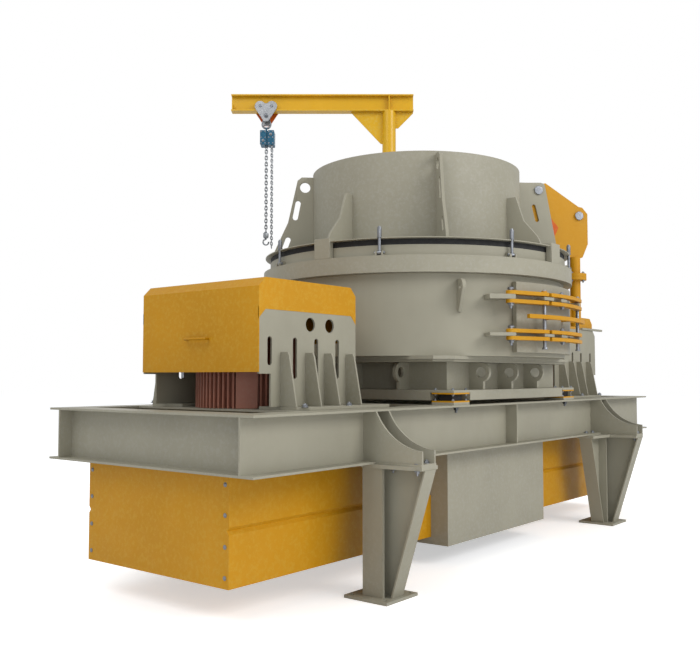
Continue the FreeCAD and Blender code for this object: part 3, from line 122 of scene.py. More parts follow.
def paint(name, base, rough, worn, coat=0.0):
    """Sprayed paint on plate: soft colour drift, streaks, worn edges and orange peel."""
    n = Nodes(name)
    drift = n.ramp(n.noise(1.7, 3.0), [(0.3, tint(base, 0.93)), (0.7, tint(base, 1.05))])
    streak = n.ramp(n.noise(5.0, 5.0, 0.6, (3.0, 3.0, 0.35)), [(0.46, (0.0,)), (0.75, (1.0,))])
    dusty = n.mix(0.05, drift, worn)
    body = n.mix(streak, drift, dusty)
    geometry = n.add("ShaderNodeNewGeometry")
    edge = n.ramp(geometry.outputs["Pointiness"], [(0.52, (0.0,)), (0.60, (1.0,))])
    patch = n.ramp(n.noise(38.0, 5.0, 0.7), [(0.48, (0.0,)), (0.62, (0.55,))])
    chip = n.mix(1.0, edge, patch, "MULTIPLY")
    final = n.mix(chip, body, tint(worn, 0.8))
    n.link(final, n.shader.inputs["Base Color"])
    shine = n.ramp(n.noise(9.0, 5.0), [(0.3, (rough - 0.06,)), (0.7, (rough + 0.09,))])
    n.link(shine, n.shader.inputs["Roughness"])
    n.shader.inputs["Coat Weight"].default_value = coat
    n.shader.inputs["Specular IOR Level"].default_value = 0.3
    n.shader.inputs["Coat Roughness"].default_value = 0.18
    n.bump(n.noise(420.0, 2.0), 0.05, 0.0004)
    return n.mat


def metal(name, base, rough):
    """Bare metal with patchy tone and a fine grain."""
    n = Nodes(name)
    tone = n.ramp(n.noise(26.0, 5.0, 0.6), [(0.3, tint(base, 0.78)), (0.72, tint(base, 1.08))])
    n.link(tone, n.shader.inputs["Base Color"])
    n.shader.inputs["Metallic"].default_value = 1.0
    shine = n.ramp(n.noise(70.0, 4.0), [(0.3, (rough - 0.07,)), (0.7, (rough + 0.12,))])
    n.link(shine, n.shader.inputs["Roughness"])
    n.bump(n.noise(160.0, 3.0), 0.15, 0.0008)
    return n.mat


def dull(name, base, rough, depth):
    """Rubber or cast iron: uneven tone and a rough skin of a given depth."""
    n = Nodes(name)
    tone = n.ramp(n.noise(14.0, 5.0, 0.6), [(0.3, tint(base, 0.75)), (0.7, tint(base, 1.25))])
    n.link(tone, n.shader.inputs["Base Color"])
    shine = n.ramp(n.noise(30.0, 4.0), [(0.3, (rough - 0.08,)), (0.7, (rough + 0.08,))])
    n.link(shine, n.shader.inputs["Roughness"])
    n.bump(n.noise(240.0, 3.0), 0.35, depth)
    return n.mat


GREY = paint("grey_coat", colour(151, 147, 130), 0.46, colour(176, 172, 158))
YELLOW = paint("yellow_coat", colour(190, 134, 2), 0.46, colour(214, 166, 50))
# Orange: the trolley clamp's own paint, and also painted shade on the lifter's yellow inner plate
ORANGE_PAINT_AND_PAINTED_SHADE = paint("orange_coat_and_painted_shade", colour(196, 84, 10), 0.40, colour(220, 120, 40))
BRIGHT = metal("bright_zinc", colour(150, 153, 158), 0.42)
RUBBER = dull("black_rubber", colour(26, 26, 27), 0.72, 0.0015)
STEEL = metal("plated_steel", colour(176, 178, 180), 0.30)
CHAIN = metal("galvanised", colour(160, 163, 166), 0.36)
MOTOR = paint("motor_coat", colour(158, 104, 86), 0.42, colour(180, 130, 112))
# The jib's yellow paint, its base colour lightened as a painted sheen, under a clear coat
YELLOW_WITH_PAINTED_SHEEN = paint("jib_yellow_painted_sheen", colour(214, 166, 22), 0.34, colour(232, 200, 90), 0.2)
BLUE = paint("hoist_coat", colour(14, 84, 112), 0.32, colour(70, 140, 170), 0.3)
CAST = dull("cast_iron", colour(66, 66, 68), 0.62, 0.002)

# The record's material slots, and the material that each CAD node gets
looks = {"grey_paint": GREY, "yellow_paint": YELLOW, "rubber": RUBBER, "steel": STEEL,
         "motor_paint": MOTOR, "hoist_blue": BLUE, "cast": CAST}
slots = dict((s["node"], s["material_slot"]) for s in frame["record"]["subparts"])


def soften(thing):
    """A small bevel on every sharp edge, which also shows the paint worn there."""
    bevel = thing.modifiers.new("edge", "BEVEL")
    bevel.width = 0.0022
    bevel.segments = 2
    bevel.limit_method = "ANGLE"
    bevel.angle_limit = math.radians(32)
    bevel.harden_normals = False


for name, thing in nodes.items():
    # The jib's nodes get the yellow with its painted sheen in place of their slot's paint
    look = YELLOW_WITH_PAINTED_SHEEN if name.startswith("jib_") else looks[slots[name]]
    if not thing.material_slots:
        thing.data.materials.append(look)
    for place in thing.material_slots:
        place.link = "OBJECT"
        place.material = look
    soften(thing)


# Pieces

def piece(name, bm, look, body="base", smooth=0.6):
    """An object from a mesh, riding on a body; edges over the angle stay sharp."""
    mesh = bpy.data.meshes.new(name)
    bm.normal_update()
    bm.to_mesh(mesh)
    bm.free()
    for face in mesh.polygons:
        face.use_smooth = True
    thing = bpy.data.objects.new(name, mesh)
    bpy.context.collection.objects.link(thing)
    mesh.set_sharp_from_angle(angle=smooth)
    mesh.materials.append(look)
    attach(thing, body)
    return thing


def slab(bm, low, high):
    """A plate between two matching outlines."""
    a = [bm.verts.new(v) for v in low]
    b = [bm.verts.new(v) for v in high]
    count = len(a)
    bm.faces.new(list(reversed(a)))
    bm.faces.new(b)
    for k in range(count):
        bm.faces.new((a[k], a[(k + 1) % count], b[(k + 1) % count], b[k]))
    bmesh.ops.recalc_face_normals(bm, faces=bm.faces[:])


def facing(at, axis):
    """A matrix that takes local Z to an axis at a point."""
    return Matrix.Translation(Vector(at)) @ Z.rotation_difference(Vector(axis)).to_matrix().to_4x4()


def lathe(bm, at, axis, profile, sides=16, cap=True):
    """A turned form from (radius, height) pairs along an axis."""
    place = facing(at, axis)
    rows = []
    for r, h in profile:
        rows.append([bm.verts.new(place @ Vector((r * math.cos(2 * math.pi * k / sides),
                                                  r * math.sin(2 * math.pi * k / sides), h)))
                     for k in range(sides)])
    for low, high in zip(rows, rows[1:]):
        for k in range(sides):
            bm.faces.new((low[k], low[(k + 1) % sides], high[(k + 1) % sides], high[k]))
    if cap:
        bm.faces.new(list(reversed(rows[0])))
        bm.faces.new(rows[-1])


def hex_bolt(bm, at, axis, r, washer=True):
    """A washer and a chamfered hexagon head standing on a surface."""
    base = 0.0
    if washer:
        lathe(bm, at, axis, [(r * 1.35, 0), (r * 1.35, r * 0.20), (r * 1.27, r * 0.27)], 20)
        base = r * 0.25
    lathe(bm, at, axis, [(r, base), (r, base + r * 0.62), (r * 0.86, base + r * 0.78)], 6)
    lathe(bm, at, axis, [(r * 0.52, base + r * 0.70), (r * 0.52, base + r * 1.10),
                         (r * 0.44, base + r * 1.18)], 12)


def stud(bm, at, axis, r):
    """A nut with a bolt end through it, as seen on the far side of a joint."""
    hex_bolt(bm, at, axis, r)
    lathe(bm, at, axis, [(r * 0.5, r), (r * 0.5, r * 1.9), (r * 0.4, r * 2.0)], 12)


def dome(bm, at, axis, r):
    """A round button head on a washer."""
    lathe(bm, at, axis, [(r * 1.25, 0), (r * 1.25, r * 0.15), (r, r * 0.2), (r * 0.95, r * 0.45),
                         (r * 0.7, r * 0.7), (r * 0.3, r * 0.8)], 20)


def tube(bm, points, r, sides=10, closed=False):
    """A round bar swept along points."""
    points = [Vector(p) for p in points]
    count = len(points)
    rows = []
    up = Vector((0.12, 0.07, 1)).normalized()
    for i, p in enumerate(points):
        a = points[i - 1] if (i or closed) else p
        b = points[(i + 1) % count] if (i < count - 1 or closed) else p
        way = (b - a).normalized()
        side = way.cross(up)
        if side.length < 0.2:
            side = way.cross(Vector((1, 0, 0)))
        side.normalize()
        top = side.cross(way).normalized()
        rows.append([bm.verts.new(p + side * r * math.cos(2 * math.pi * k / sides)
                                  + top * r * math.sin(2 * math.pi * k / sides))
                     for k in range(sides)])
    last = count if closed else count - 1
    for i in range(last):
        low, high = rows[i], rows[(i + 1) % count]
        for k in range(sides):
            bm.faces.new((low[k], low[(k + 1) % sides], high[(k + 1) % sides], high[k]))
    if not closed:
        bm.faces.new(list(reversed(rows[0])))
        bm.faces.new(rows[-1])


def polar(r, degrees, z):
    """A point from its radius and angle about the crusher's axis, and its height."""
    a = math.radians(degrees)
    return Vector((r * math.cos(a), r * math.sin(a), z))


# Places that several pieces share, in metres and degrees

JIB = Vector((1.110, 1.096, 0))         # axis of the jib post
ALONG = polar(1, 128.62, 0)             # along the jib beam, away from the post
ACROSS = Vector((-ALONG.y, ALONG.x, 0))
TROLLEY = 1.331                         # trolley along the beam, from the post
HAND = TROLLEY - 0.060                  # hand chain along the beam
BEAM_LOW = 4.284                        # underside of the jib beam
PIN_R = 1.400                           # door pins and rods, from the crusher's axis
HINGE, ROD, ROD_2, MID = -115.6, -101.3, -73.3, -90.8   # their angles
ARM_HIGH, ARM_LOW = 2.0075, 1.7275      # middle of the two hinge arms
BAR_Z = 1.850                           # underside of the bar across the door
LIFTER, LIFTER_R = -45, 1.476           # angle and radius of the lid lifter
JOINT_Z, FLANGE_T = 2.318, 0.030        # its flange joint, and each flange
BESIDE = polar(1, LIFTER + 90, 0)       # along the lifter's pins
LID_PIN, ARM_PIN = (1.128, 3.104), (1.513, 2.880)       # their radius and height
BOLT_R, BOLT_Z = 1.325, 2.335           # radius and height of the swing bolt pins
BOLT_TURNS = [22.5 + 45 * i for i in range(8)]
BAND_TOP, LID_LOW, LID_TOP = 2.3135, 2.441, 2.449
SHELL_R, SHELL_IN = 1.280, 1.260        # chamber wall, outside and inside
DOOR_OUT, STRAP_OUT = 1.329, 1.432      # outer face of the door and of its straps
FRAME_TOP, CRADLE_TOP = 1.203, 1.223
MOTOR_X = 2.060                         # motor shafts, from the crusher's axis
HOOD_X0, HOOD_X1 = 1.584, 2.547         # inner and outer end of a hood
BOX_X0, BOX_X1, BOX_Y = -0.798, 1.028, 0.822            # base box
RAIL_LOW, RAIL_TOP, BOX_TOP = 1.236, 1.314, 1.524


def on_jib(s, across, z):
    """A point on the jib: along its beam, across it, and its height."""
    return JIB + ALONG * s + ACROSS * across + Z * z


# Bolts on the legs' joints, the cradles and the isolators, and nuts under their flanges
FLANGE_TOP, FLANGE_LOW, BEAM_UNDER = 0.871, 0.832, 1.189
bm = bmesh.new()
for sx in (-1, 1):
    for sy in (-1, 1):
        for x in (1.780, 1.880):
            hex_bolt(bm, (sx * x, sy * 1.285, FLANGE_TOP), Z, 0.016)
        for x, y in ((1.845, 1.075), (1.905, 1.300), (1.770, 1.300), (1.600, 0.935)):
            stud(bm, (sx * x, sy * y, FLANGE_LOW), -Z, 0.015)
        for x, y in ((1.586, 0.895), (1.690, 0.915)):
            hex_bolt(bm, (sx * x, sy * y, FLANGE_TOP), Z, 0.015)
        for x in (1.871, 2.310):
            hex_bolt(bm, (sx * x, sy * 0.735, CRADLE_TOP), Z, 0.017)
        for x in (-0.870, 1.000):
            stud(bm, (x, sy * 0.945, BEAM_UNDER), -Z, 0.021)
piece("frame_bolts", bm, BRIGHT)
bm = bmesh.new()
for sx in (-1, 1):
    for y in (-0.640, 0.640):
        for z in (0.265, 0.440, 0.620, 0.795):
            dome(bm, (sx * 2.886, y, z), (sx, 0, 0), 0.011)
piece("guard_screws", bm, BRIGHT)
RUBBER_LOW, RUBBER_TOP = 1.234, 1.283
bm = bmesh.new()
for x in (-0.910, -0.728, 0.958, 1.140):
    for sy in (-1, 1):
        for y in (0.791, 0.943):
            hex_bolt(bm, (x, sy * y, RUBBER_LOW), Z, 0.0105)
            hex_bolt(bm, (x, sy * y, RUBBER_TOP), -Z, 0.0105)
            hex_bolt(bm, (x, sy * y, RAIL_TOP), Z, 0.0105)
piece("isolator_bolts", bm, BRIGHT)

# Chains: welded links, each turned a quarter from the last

def link_chain(bm, top, low, r, pitch, width):
    """A straight chain between two points, from oval links of round wire."""
    count = max(2, int((top.z - low.z) / pitch))
    step = (top.z - low.z) / count
    for i in range(count):
        mid = top.lerp(low, (i + 0.5) / count)
        side = ALONG if i % 2 else ACROSS
        half = step * 0.5 + r * 0.9 - width / 2
        path = []
        for start, rise in ((0, half), (math.pi, -half)):
            for k in range(7):
                a = start + math.pi * k / 6
                path.append(mid + side * (math.cos(a) * width / 2)
                            + Z * (rise + math.sin(a) * width / 2))
        tube(bm, path, r, 6, closed=True)


bm = bmesh.new()
link_chain(bm, on_jib(TROLLEY, 0, 3.900), on_jib(TROLLEY, 0, 2.972), 0.0062, 0.034, 0.024)
lathe(bm, on_jib(TROLLEY, 0, 2.900), Z,
      [(0.012, 0), (0.027, 0.008), (0.030, 0.030), (0.028, 0.058), (0.012, 0.075)], 20)
hook = []
for k in range(17):
    a = math.radians(95 - 17.5 * k)
    hook.append(on_jib(TROLLEY + 0.030 * math.cos(a), 0, 2.862 + 0.030 * math.sin(a)))
tube(bm, [on_jib(TROLLEY, 0, 2.905)] + hook, 0.009, 10)
load = piece("load_chain_links", bm, CHAIN, "jib_trolley")
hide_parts("load_chain")
bm = bmesh.new()
for across in (-0.020, 0.020):
    link_chain(bm, on_jib(HAND, across, 3.912), on_jib(HAND, across, 2.800), 0.0040, 0.030, 0.019)
loop = []
for k in range(9):
    a = math.pi * k / 8
    loop.append(on_jib(HAND, 0.020 * math.cos(a), 2.803 - 0.012 * math.sin(a)))
tube(bm, loop, 0.0036, 6)
hand = piece("hand_chain_links", bm, CHAIN, "jib_trolley")
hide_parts("hand_chain")

# Swing bolts: an eye on a headed pin, a shank, a washer and a long sleeve nut
for i, angle in enumerate(BOLT_TURNS):
    at = polar(BOLT_R, angle, 0)
    out = polar(1, angle, 0)
    tangent = Vector((-out.y, out.x, 0))
    bm = bmesh.new()
    lathe(bm, at + Z * BOLT_Z - tangent * 0.014, tangent,
          [(0.014, 0), (0.016, 0.002), (0.016, 0.026), (0.014, 0.028)], 24)
    lathe(bm, at + Z * BOLT_Z - tangent * 0.034, tangent, [(0.0055, 0), (0.0055, 0.068)], 14)
    for way in (-1, 1):
        lathe(bm, at + Z * BOLT_Z + tangent * (0.0325 * way), tangent * way,
              [(0.010, 0), (0.0115, 0.001), (0.0115, 0.006), (0.009, 0.008)], 20)
    lathe(bm, at + Z * BOLT_Z, Z, [(0.0113, 0.0), (0.0113, 0.114)], 18)
    lathe(bm, at + Z * LID_TOP, Z,
          [(0.0185, 0), (0.0195, 0.001), (0.0195, 0.0045), (0.0185, 0.005)], 24)
    lathe(bm, at + Z * 2.454, Z,
          [(0.0155, 0), (0.0165, 0.0015), (0.0165, 0.070), (0.0150, 0.072)], 24)
    lathe(bm, at + Z * 2.526, Z, [(0.0105, 0), (0.0105, 0.006), (0.0095, 0.008)], 18)
    bolt = piece("swing_bolt_detail_%d" % (i + 1), bm, BRIGHT, "bolt_%d" % (i + 1))
    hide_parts("swing_bolt_%d" % (i + 1))

# Door rods, bolts and nuts
SLEEVE = [(0.0125, 0), (0.0145, 0.002), (0.0145, 0.440), (0.013, 0.443)]
bm = bmesh.new()
lathe(bm, polar(PIN_R, ROD, 1.632), Z, SLEEVE, 24)
for z in (1.620, 2.054):
    lathe(bm, polar(PIN_R, ROD, z), Z,
          [(0.020, 0), (0.022, 0.002), (0.022, 0.012), (0.020, 0.015)], 24)
piece("link_rod_sleeve", bm, BRIGHT, "door_arms")
bm = bmesh.new()
lathe(bm, polar(PIN_R, ROD_2, 1.632), Z, SLEEVE, 24)
for z in (1.625, 2.056):
    lathe(bm, polar(PIN_R, ROD_2, z), Z,
          [(0.019, 0), (0.021, 0.002), (0.021, 0.011), (0.019, 0.013)], 24)
for z, half in ((ARM_HIGH, 0.0465), (ARM_LOW, 0.0415)):
    for way in (-1, 1):
        hex_bolt(bm, polar(PIN_R, MID, z + way * half), Z * way, 0.017)
    lathe(bm, polar(PIN_R, MID, z - half), Z, [(0.0128, 0), (0.0128, 2 * half)], 18)
piece("door_bolts", bm, BRIGHT, "door")
bm = bmesh.new()
for z, half in ((ARM_HIGH, 0.0545), (ARM_LOW, 0.0495)):
    lathe(bm, polar(PIN_R, HINGE, z + half), Z,
          [(0.024, 0), (0.025, 0.002), (0.025, 0.012), (0.019, 0.018), (0.010, 0.020)], 24)
    stud(bm, polar(PIN_R, HINGE, z - half + 0.008), -Z, 0.021)
piece("hinge_pin_heads", bm, BRIGHT)

# Lid lifter: pin ends, flange bolts and the inner plate seen behind the lug; that yellow plate is
# painted orange, as painted shade

bm = bmesh.new()
for (r, z), half in ((LID_PIN, 0.040), (ARM_PIN, 0.023)):
    for way in (-1, 1):
        lathe(bm, polar(r, LIFTER, z) + BESIDE * (half * way), BESIDE * way,
              [(0.038, 0), (0.0395, 0.002), (0.0395, 0.006), (0.037, 0.009), (0.030, 0.0095)], 32)
piece("lifter_pin_ends", bm, BRIGHT, "lid")
FLANGE_BOLTS = [polar(LIFTER_R, LIFTER, 0) + polar(0.076, 90 * k, 0) for k in range(4)]
bm = bmesh.new()
for spot in FLANGE_BOLTS:
    hex_bolt(bm, spot + Z * (JOINT_Z + FLANGE_T), Z, 0.0125)
piece("lifter_bolts_top", bm, BRIGHT, "lid")
bm = bmesh.new()
for spot in FLANGE_BOLTS:
    stud(bm, spot + Z * (JOINT_Z - FLANGE_T), -Z, 0.0125)
piece("lifter_bolts_low", bm, BRIGHT)
bm = bmesh.new()
for way in (-1, 1):
    low = [polar(r, LIFTER, z) + BESIDE * (0.0148 * way)
           for r, z in ((1.243, 2.864), (1.319, 2.769), (1.284, 2.693), (1.240, 2.760))]
    high = [v + BESIDE * (0.0025 * way) for v in low]
    slab(bm, low, high)
# The inner plate is yellow like the lifter; its orange is painted shade
piece("lifter_web_painted_shade", bm, ORANGE_PAINT_AND_PAINTED_SHADE, "lid")

# A handle and a locking pin on the outer end of each hood
bm = bmesh.new()
HANDLE_Z = 1.659
for sx in (-1, 1):
    x = HOOD_X1 * sx
    y0, y1 = 0.108 * sx, -0.092 * sx
    path = [(-0.002, y0), (0.030, y0), (0.040, y0 * 0.9 + y1 * 0.1),
            (0.040, y0 * 0.1 + y1 * 0.9), (0.030, y1), (-0.002, y1)]
    tube(bm, [(x + out * sx, y, HANDLE_Z) for out, y in path], 0.008, 12)
piece("hood_handles", bm, YELLOW)
bm = bmesh.new()
for sx in (-1, 1):
    x, y = 2.530 * sx, -0.158 * sx
    lathe(bm, (x, y, 1.452), -Z, [(0.012, 0), (0.012, 0.046), (0.009, 0.050)], 18)
    lathe(bm, (x, y, 1.446), -Z, [(0.017, 0), (0.017, 0.006)], 18)
piece("hood_pins", bm, BRIGHT)

# Trolley: shackle ring, wheel hubs and the inner clamp plate; hoist: chain guides and screws

bm = bmesh.new()
ring = []
for k in range(28):
    a = 2 * math.pi * k / 28
    ring.append(on_jib(TROLLEY + 0.044 * math.cos(a), 0, 4.150 + 0.046 * math.sin(a)))
tube(bm, ring, 0.0115, 12, closed=True)
for way in (-1, 1):
    for ds in (-0.062, 0.062):
        lathe(bm, on_jib(TROLLEY + ds, 0.078 * way, 4.3316), ACROSS * way,
              [(0.016, 0), (0.016, 0.006), (0.013, 0.009)], 20)
    stud(bm, on_jib(TROLLEY, 0.078 * way, 4.224), ACROSS * way, 0.019)
piece("trolley_hardware", bm, BRIGHT, "jib_trolley")
bm = bmesh.new()
clamp = [(-0.030, -0.136), (0.030, -0.136), (0.124, 0.006), (0.100, 0.030), (-0.100, 0.030),
         (-0.124, 0.006)]
slab(bm, [on_jib(TROLLEY + a, -0.0675, BEAM_LOW + b) for a, b in clamp],
     [on_jib(TROLLEY + a, -0.0625, BEAM_LOW + b) for a, b in clamp])
piece("trolley_clamp", bm, ORANGE_PAINT_AND_PAINTED_SHADE, "jib_trolley")
bm = bmesh.new()
for way in (-1, 1):
    for s in (1.256, 1.299, 1.338, 1.381):
        for z in (3.926, 3.989, 4.052):
            dome(bm, on_jib(s, 0.070 * way, z), ACROSS * way, 0.006)
    dome(bm, on_jib(1.278, 0.070 * way, 4.022), ACROSS * way, 0.013)
    dome(bm, on_jib(1.360, 0.070 * way, 3.955), ACROSS * way, 0.013)
for across in (-0.020, 0.020):
    lathe(bm, on_jib(HAND, across, 3.895), Z,
          [(0.010, 0), (0.012, 0.004), (0.012, 0.022), (0.010, 0.026)], 16)
lathe(bm, on_jib(TROLLEY, 0, 3.885), Z,
      [(0.014, 0), (0.018, 0.004), (0.018, 0.026), (0.014, 0.030)], 20)
piece("hoist_hardware", bm, BRIGHT, "jib_trolley")

# Forms that the photograph shows and the solids give more plainly, in the solids' places

FLAT = Matrix.Identity(4)
ORIGIN = (0, 0, 0)
X_WAY = (1, 0, 0)


def arc(x, y, r, a0, a1, count=12):
    """Points along an arc, from one angle to another."""
    turns = [math.radians(a0 + (a1 - a0) * k / count) for k in range(count + 1)]
    return [(x + r * math.cos(a), y + r * math.sin(a)) for a in turns]


def hole(x, y, r, count=24):
    return arc(x, y, r, 0, 360 - 360 / count, count - 1)


def gap(x0, y0, x1, y1, r):
    """A slot with round ends between two points."""
    a = math.degrees(math.atan2(y1 - y0, x1 - x0))
    return arc(x0, y0, r, a + 90, a + 270) + arc(x1, y1, r, a - 90, a + 90)


def rect(x0, y0, x1, y1):
    return [(x0, y0), (x1, y0), (x1, y1), (x0, y1)]


def band(r0, r1, a0, a1, count=24):
    """A curved strip about the origin."""
    return arc(0, 0, r1, a0, a1, count) + arc(0, 0, r0, a1, a0, count)


def plane(at, a, b):
    """A matrix whose first two axes lie in a plate and whose third goes through it."""
    a, b = Vector(a), Vector(b)
    n = a.cross(b)
    return Matrix(((a.x, b.x, n.x, at[0]), (a.y, b.y, n.y, at[1]),
                   (a.z, b.z, n.z, at[2]), (0, 0, 0, 1)))


def turned(degrees):
    """A turn about the vertical; 180 takes the left motor unit to the right one."""
    return Matrix.Rotation(math.radians(degrees), 4, "Z")


def radial(angle):
    """The plane through the crusher's axis at an angle: radius, then height."""
    return plane(ORIGIN, polar(1, angle, 0), Z)


def board(bm, loops, place, low, high):
    """A plate cut to an outline, with any holes, between two levels of a plane."""
    levels = []
    for h in (low, high):
        edges, rows = [], []
        for loop in loops:
            row = [bm.verts.new(place @ Vector((x, y, h))) for x, y in loop]
            edges += [bm.edges.new((v, row[(k + 1) % len(row)])) for k, v in enumerate(row)]
            rows.append(row)
        bmesh.ops.triangle_fill(bm, use_beauty=True, edges=edges)
        levels.append(rows)
    for a, b in zip(*levels):
        for k in range(len(a)):
            j = (k + 1) % len(a)
            bm.faces.new((a[k], a[j], b[j], b[k]))


def stand_in(name, bm, body, *names):
    """The finer form of CAD nodes, in their finish and with the same worn edges."""
    bmesh.ops.recalc_face_normals(bm, faces=bm.faces[:])
    slot = slots[names[0]]
    thing = piece(name, bm, looks[slot], body, math.radians(30))
    soften(thing)
    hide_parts(*names)


# Base box with its twelve round-nosed lugs, the rails under it and the narrower rubbers
bm = bmesh.new()
IN_X0, IN_X1, IN_Y = BOX_X0 + 0.014, BOX_X1 - 0.014, BOX_Y - 0.014
board(bm, [rect(BOX_X0, -BOX_Y, BOX_X1, BOX_Y), rect(IN_X0, -IN_Y, IN_X1, IN_Y)],
      FLAT, RAIL_TOP, BOX_TOP)
x, y, c = 1.060, 0.976, 0.112
rim = [(c - x, -y), (x - c, -y), (x, c - y), (x, y - c), (x - c, y), (c - x, y),
       (-x, y - c), (-x, c - y)]
board(bm, [rim, hole(0, 0, 0.850, 64)], FLAT, BOX_TOP, 1.542)
lug = [(-0.002, 1.3145), (0.127, 1.3145)] + arc(0.106, 1.448, 0.076, -74, 90) + [(-0.002, BOX_TOP)]
eye = hole(0.106, 1.448, 0.041)
for sign in (-1, 1):
    for i in (-1, 0, 1):
        face = BOX_X1 if sign > 0 else BOX_X0
        for place in (plane((face, 0.460 * i, 0), (sign, 0, 0), Z),
                      plane((0.460 * i, BOX_Y * sign, 0), (0, sign, 0), Z)):
            board(bm, [lug, eye], place, -0.015, 0.015)
stand_in("base_box_lugged", bm, "base", "base_box")
bm = bmesh.new()
lathe(bm, ORIGIN, Z, [(0.190, 1.334), (0.190, 1.374), (0.230, 1.374), (0.230, 1.694),
                      (0.170, 1.744)], 48)
for arm in (rect(IN_X0, -0.015, IN_X1, 0.015), rect(-0.015, -IN_Y, 0.015, IN_Y)):
    board(bm, [arm], FLAT, 1.344, 1.514)
stand_in("bearing_arms", bm, "base", "bearing_housing")
bm = bmesh.new()
for x0, x1 in ((-0.925, -0.775), (1.005, 1.155)):
    board(bm, [rect(x0, -0.753, x1, 0.753)], FLAT, RAIL_LOW, RAIL_TOP)
board(bm, [rect(0.770, -0.810, 0.920, 0.810)], FLAT, RAIL_LOW, RAIL_TOP)
for sign in (-1, 1):
    board(bm, [rect(-0.690, 0.810 * sign, 0.920, 0.960 * sign)], FLAT, RAIL_LOW, RAIL_TOP)
    for x0, x1 in ((-0.930, -0.690), (0.920, 1.160)):
        board(bm, [rect(x0, 0.753 * sign, x1, 0.963 * sign)], FLAT, 1.294, RAIL_TOP)
stand_in("base_rail_bars", bm, "base", "base_rails")
bm = bmesh.new()
for sign in (-1, 1):
    for x0, x1 in ((-0.890, -0.748), (0.978, 1.120)):
        board(bm, [rect(x0, 0.811 * sign, x1, 0.923 * sign)], FLAT, RUBBER_LOW, RUBBER_TOP)
stand_in("isolator_blocks", bm, "base", "isolator_rubbers")


# Motor cradles: two low cheeks on the left, a taller one in front on the right
CHEEK_Y, TALL_Y, PLATE_Y = 0.564, 0.580, 0.760      # outer faces of the cheeks and the base plate
LOW_X, LOW_TOP, LOW_EYES = 2.541, 1.835, (-2.064, -1.867)
TALL_X, TALL_TOP = 2.583, 1.905
UPRIGHT = plane(ORIGIN, X_WAY, Z)


def cheek(bm, place, outer, top, eyes, y0, y1):
    """A cheek with bevelled corners, a notch at its outer foot, four slots and its eyes."""
    edge = [(-2.437, CRADLE_TOP), (-1.583, CRADLE_TOP), (-1.583, top - 0.055), (-1.638, top),
            (0.055 - outer, top), (-outer, top - 0.055), (-outer, 1.431), (-2.437, 1.431)]
    cuts = [gap(x, z + 0.020, x, 1.644, 0.020)
            for x, z in ((-2.448, 1.484), (-2.214, 1.398), (-2.004, 1.398), (-1.786, 1.398))]
    cuts += [hole(x, 1.755, 0.046) for x in eyes]
    board(bm, [edge] + cuts, place @ UPRIGHT, -y1, -y0)


for name, degrees, node in (("cradle_left_plates", 0, "motor_cradle_left"),
                            ("cradle_right_plates", 180, "motor_cradle_right")):
    place = turned(degrees)
    bm = bmesh.new()
    board(bm, [[(-2.350, -0.700), (-2.290, -PLATE_Y), (-1.450, -PLATE_Y), (-1.450, PLATE_Y),
                (-2.290, PLATE_Y), (-2.350, 0.700), (-2.350, 0.374), (-1.680, 0.374),
                (-1.680, -0.374), (-2.350, -0.374)]], place, FRAME_TOP, CRADLE_TOP)
    cheek(bm, place, LOW_X, LOW_TOP, LOW_EYES, -CHEEK_Y, -0.548)
    if degrees:
        cheek(bm, place, TALL_X, TALL_TOP, (), CHEEK_Y, TALL_Y)
        board(bm, [rect(-2.757, CHEEK_Y, -2.235, 0.594)], place, TALL_TOP, 1.927)
    else:
        cheek(bm, place, LOW_X, LOW_TOP, LOW_EYES, 0.548, CHEEK_Y)
    for x in (-2.344, -2.107, -1.918, -1.688):
        for sign in (-1, 1):
            foot = (TALL_Y if degrees and sign > 0 else CHEEK_Y) - 0.001
            rib = [(foot, CRADLE_TOP), (0.700, CRADLE_TOP), (0.638, 1.543), (0.626, 1.568),
                   (foot, 1.568)]
            board(bm, [[(y * sign, z) for y, z in rib]],
                  place @ plane((x, 0, 0), (0, 1, 0), Z), -0.007, 0.007)
    stand_in(name, bm, "base", node)

# Chamber wall with its doorway, lifting lugs and hinge arms
WAY = (-107, -66)    # sides of the doorway, in degrees
steps = sorted(set([round(-180 + 3.75 * k, 2) for k in range(96)] + list(WAY)))
bm = bmesh.new()
sides = {}
for key, r, z in (("o0", SHELL_R, 1.567), ("o1", SHELL_R, 1.640), ("o2", SHELL_R, 2.090),
                  ("o3", SHELL_R, 2.185), ("i3", SHELL_IN, 2.185), ("i2", SHELL_IN, 2.090),
                  ("i1", SHELL_IN, 1.640), ("i0", SHELL_IN, 1.587), ("f1", 0.850, 1.587),
                  ("f0", 0.850, 1.567)):
    sides[key] = [bm.verts.new(polar(r, a, z)) for a in steps]
loop = ["o0", "o1", "o2", "o3", "i3", "i2", "i1", "i0", "f1", "f0", "o0"]
for k, a in enumerate(steps):
    j = (k + 1) % len(steps)
    open_here = WAY[0] <= a < WAY[1]
    for low, high in zip(loop, loop[1:]):
        if not (open_here and {low, high} in ({"o1", "o2"}, {"i1", "i2"})):
            bm.faces.new((sides[low][k], sides[low][j], sides[high][j], sides[high][k]))
    if open_here:
        bm.faces.new((sides["o1"][k], sides["o1"][j], sides["i1"][j], sides["i1"][k]))
        bm.faces.new((sides["o2"][k], sides["o2"][j], sides["i2"][j], sides["i2"][k]))
    if a in WAY:
        bm.faces.new((sides["o1"][k], sides["o2"][k], sides["i2"][k], sides["i1"][k]))
nose = [(1.276, 1.891), (1.312, 1.891)] + arc(1.358, 2.074, 0.061, -12, 90) + [(1.276, 2.135)]
for angle in (-131.4, 48.6, 138.6):
    board(bm, [nose, hole(1.352, 2.078, 0.020)], radial(angle), -0.014, 0.014)
beside = plane(polar(PIN_R, HINGE, 0), polar(1, HINGE - 90, 0), polar(1, HINGE, 0))
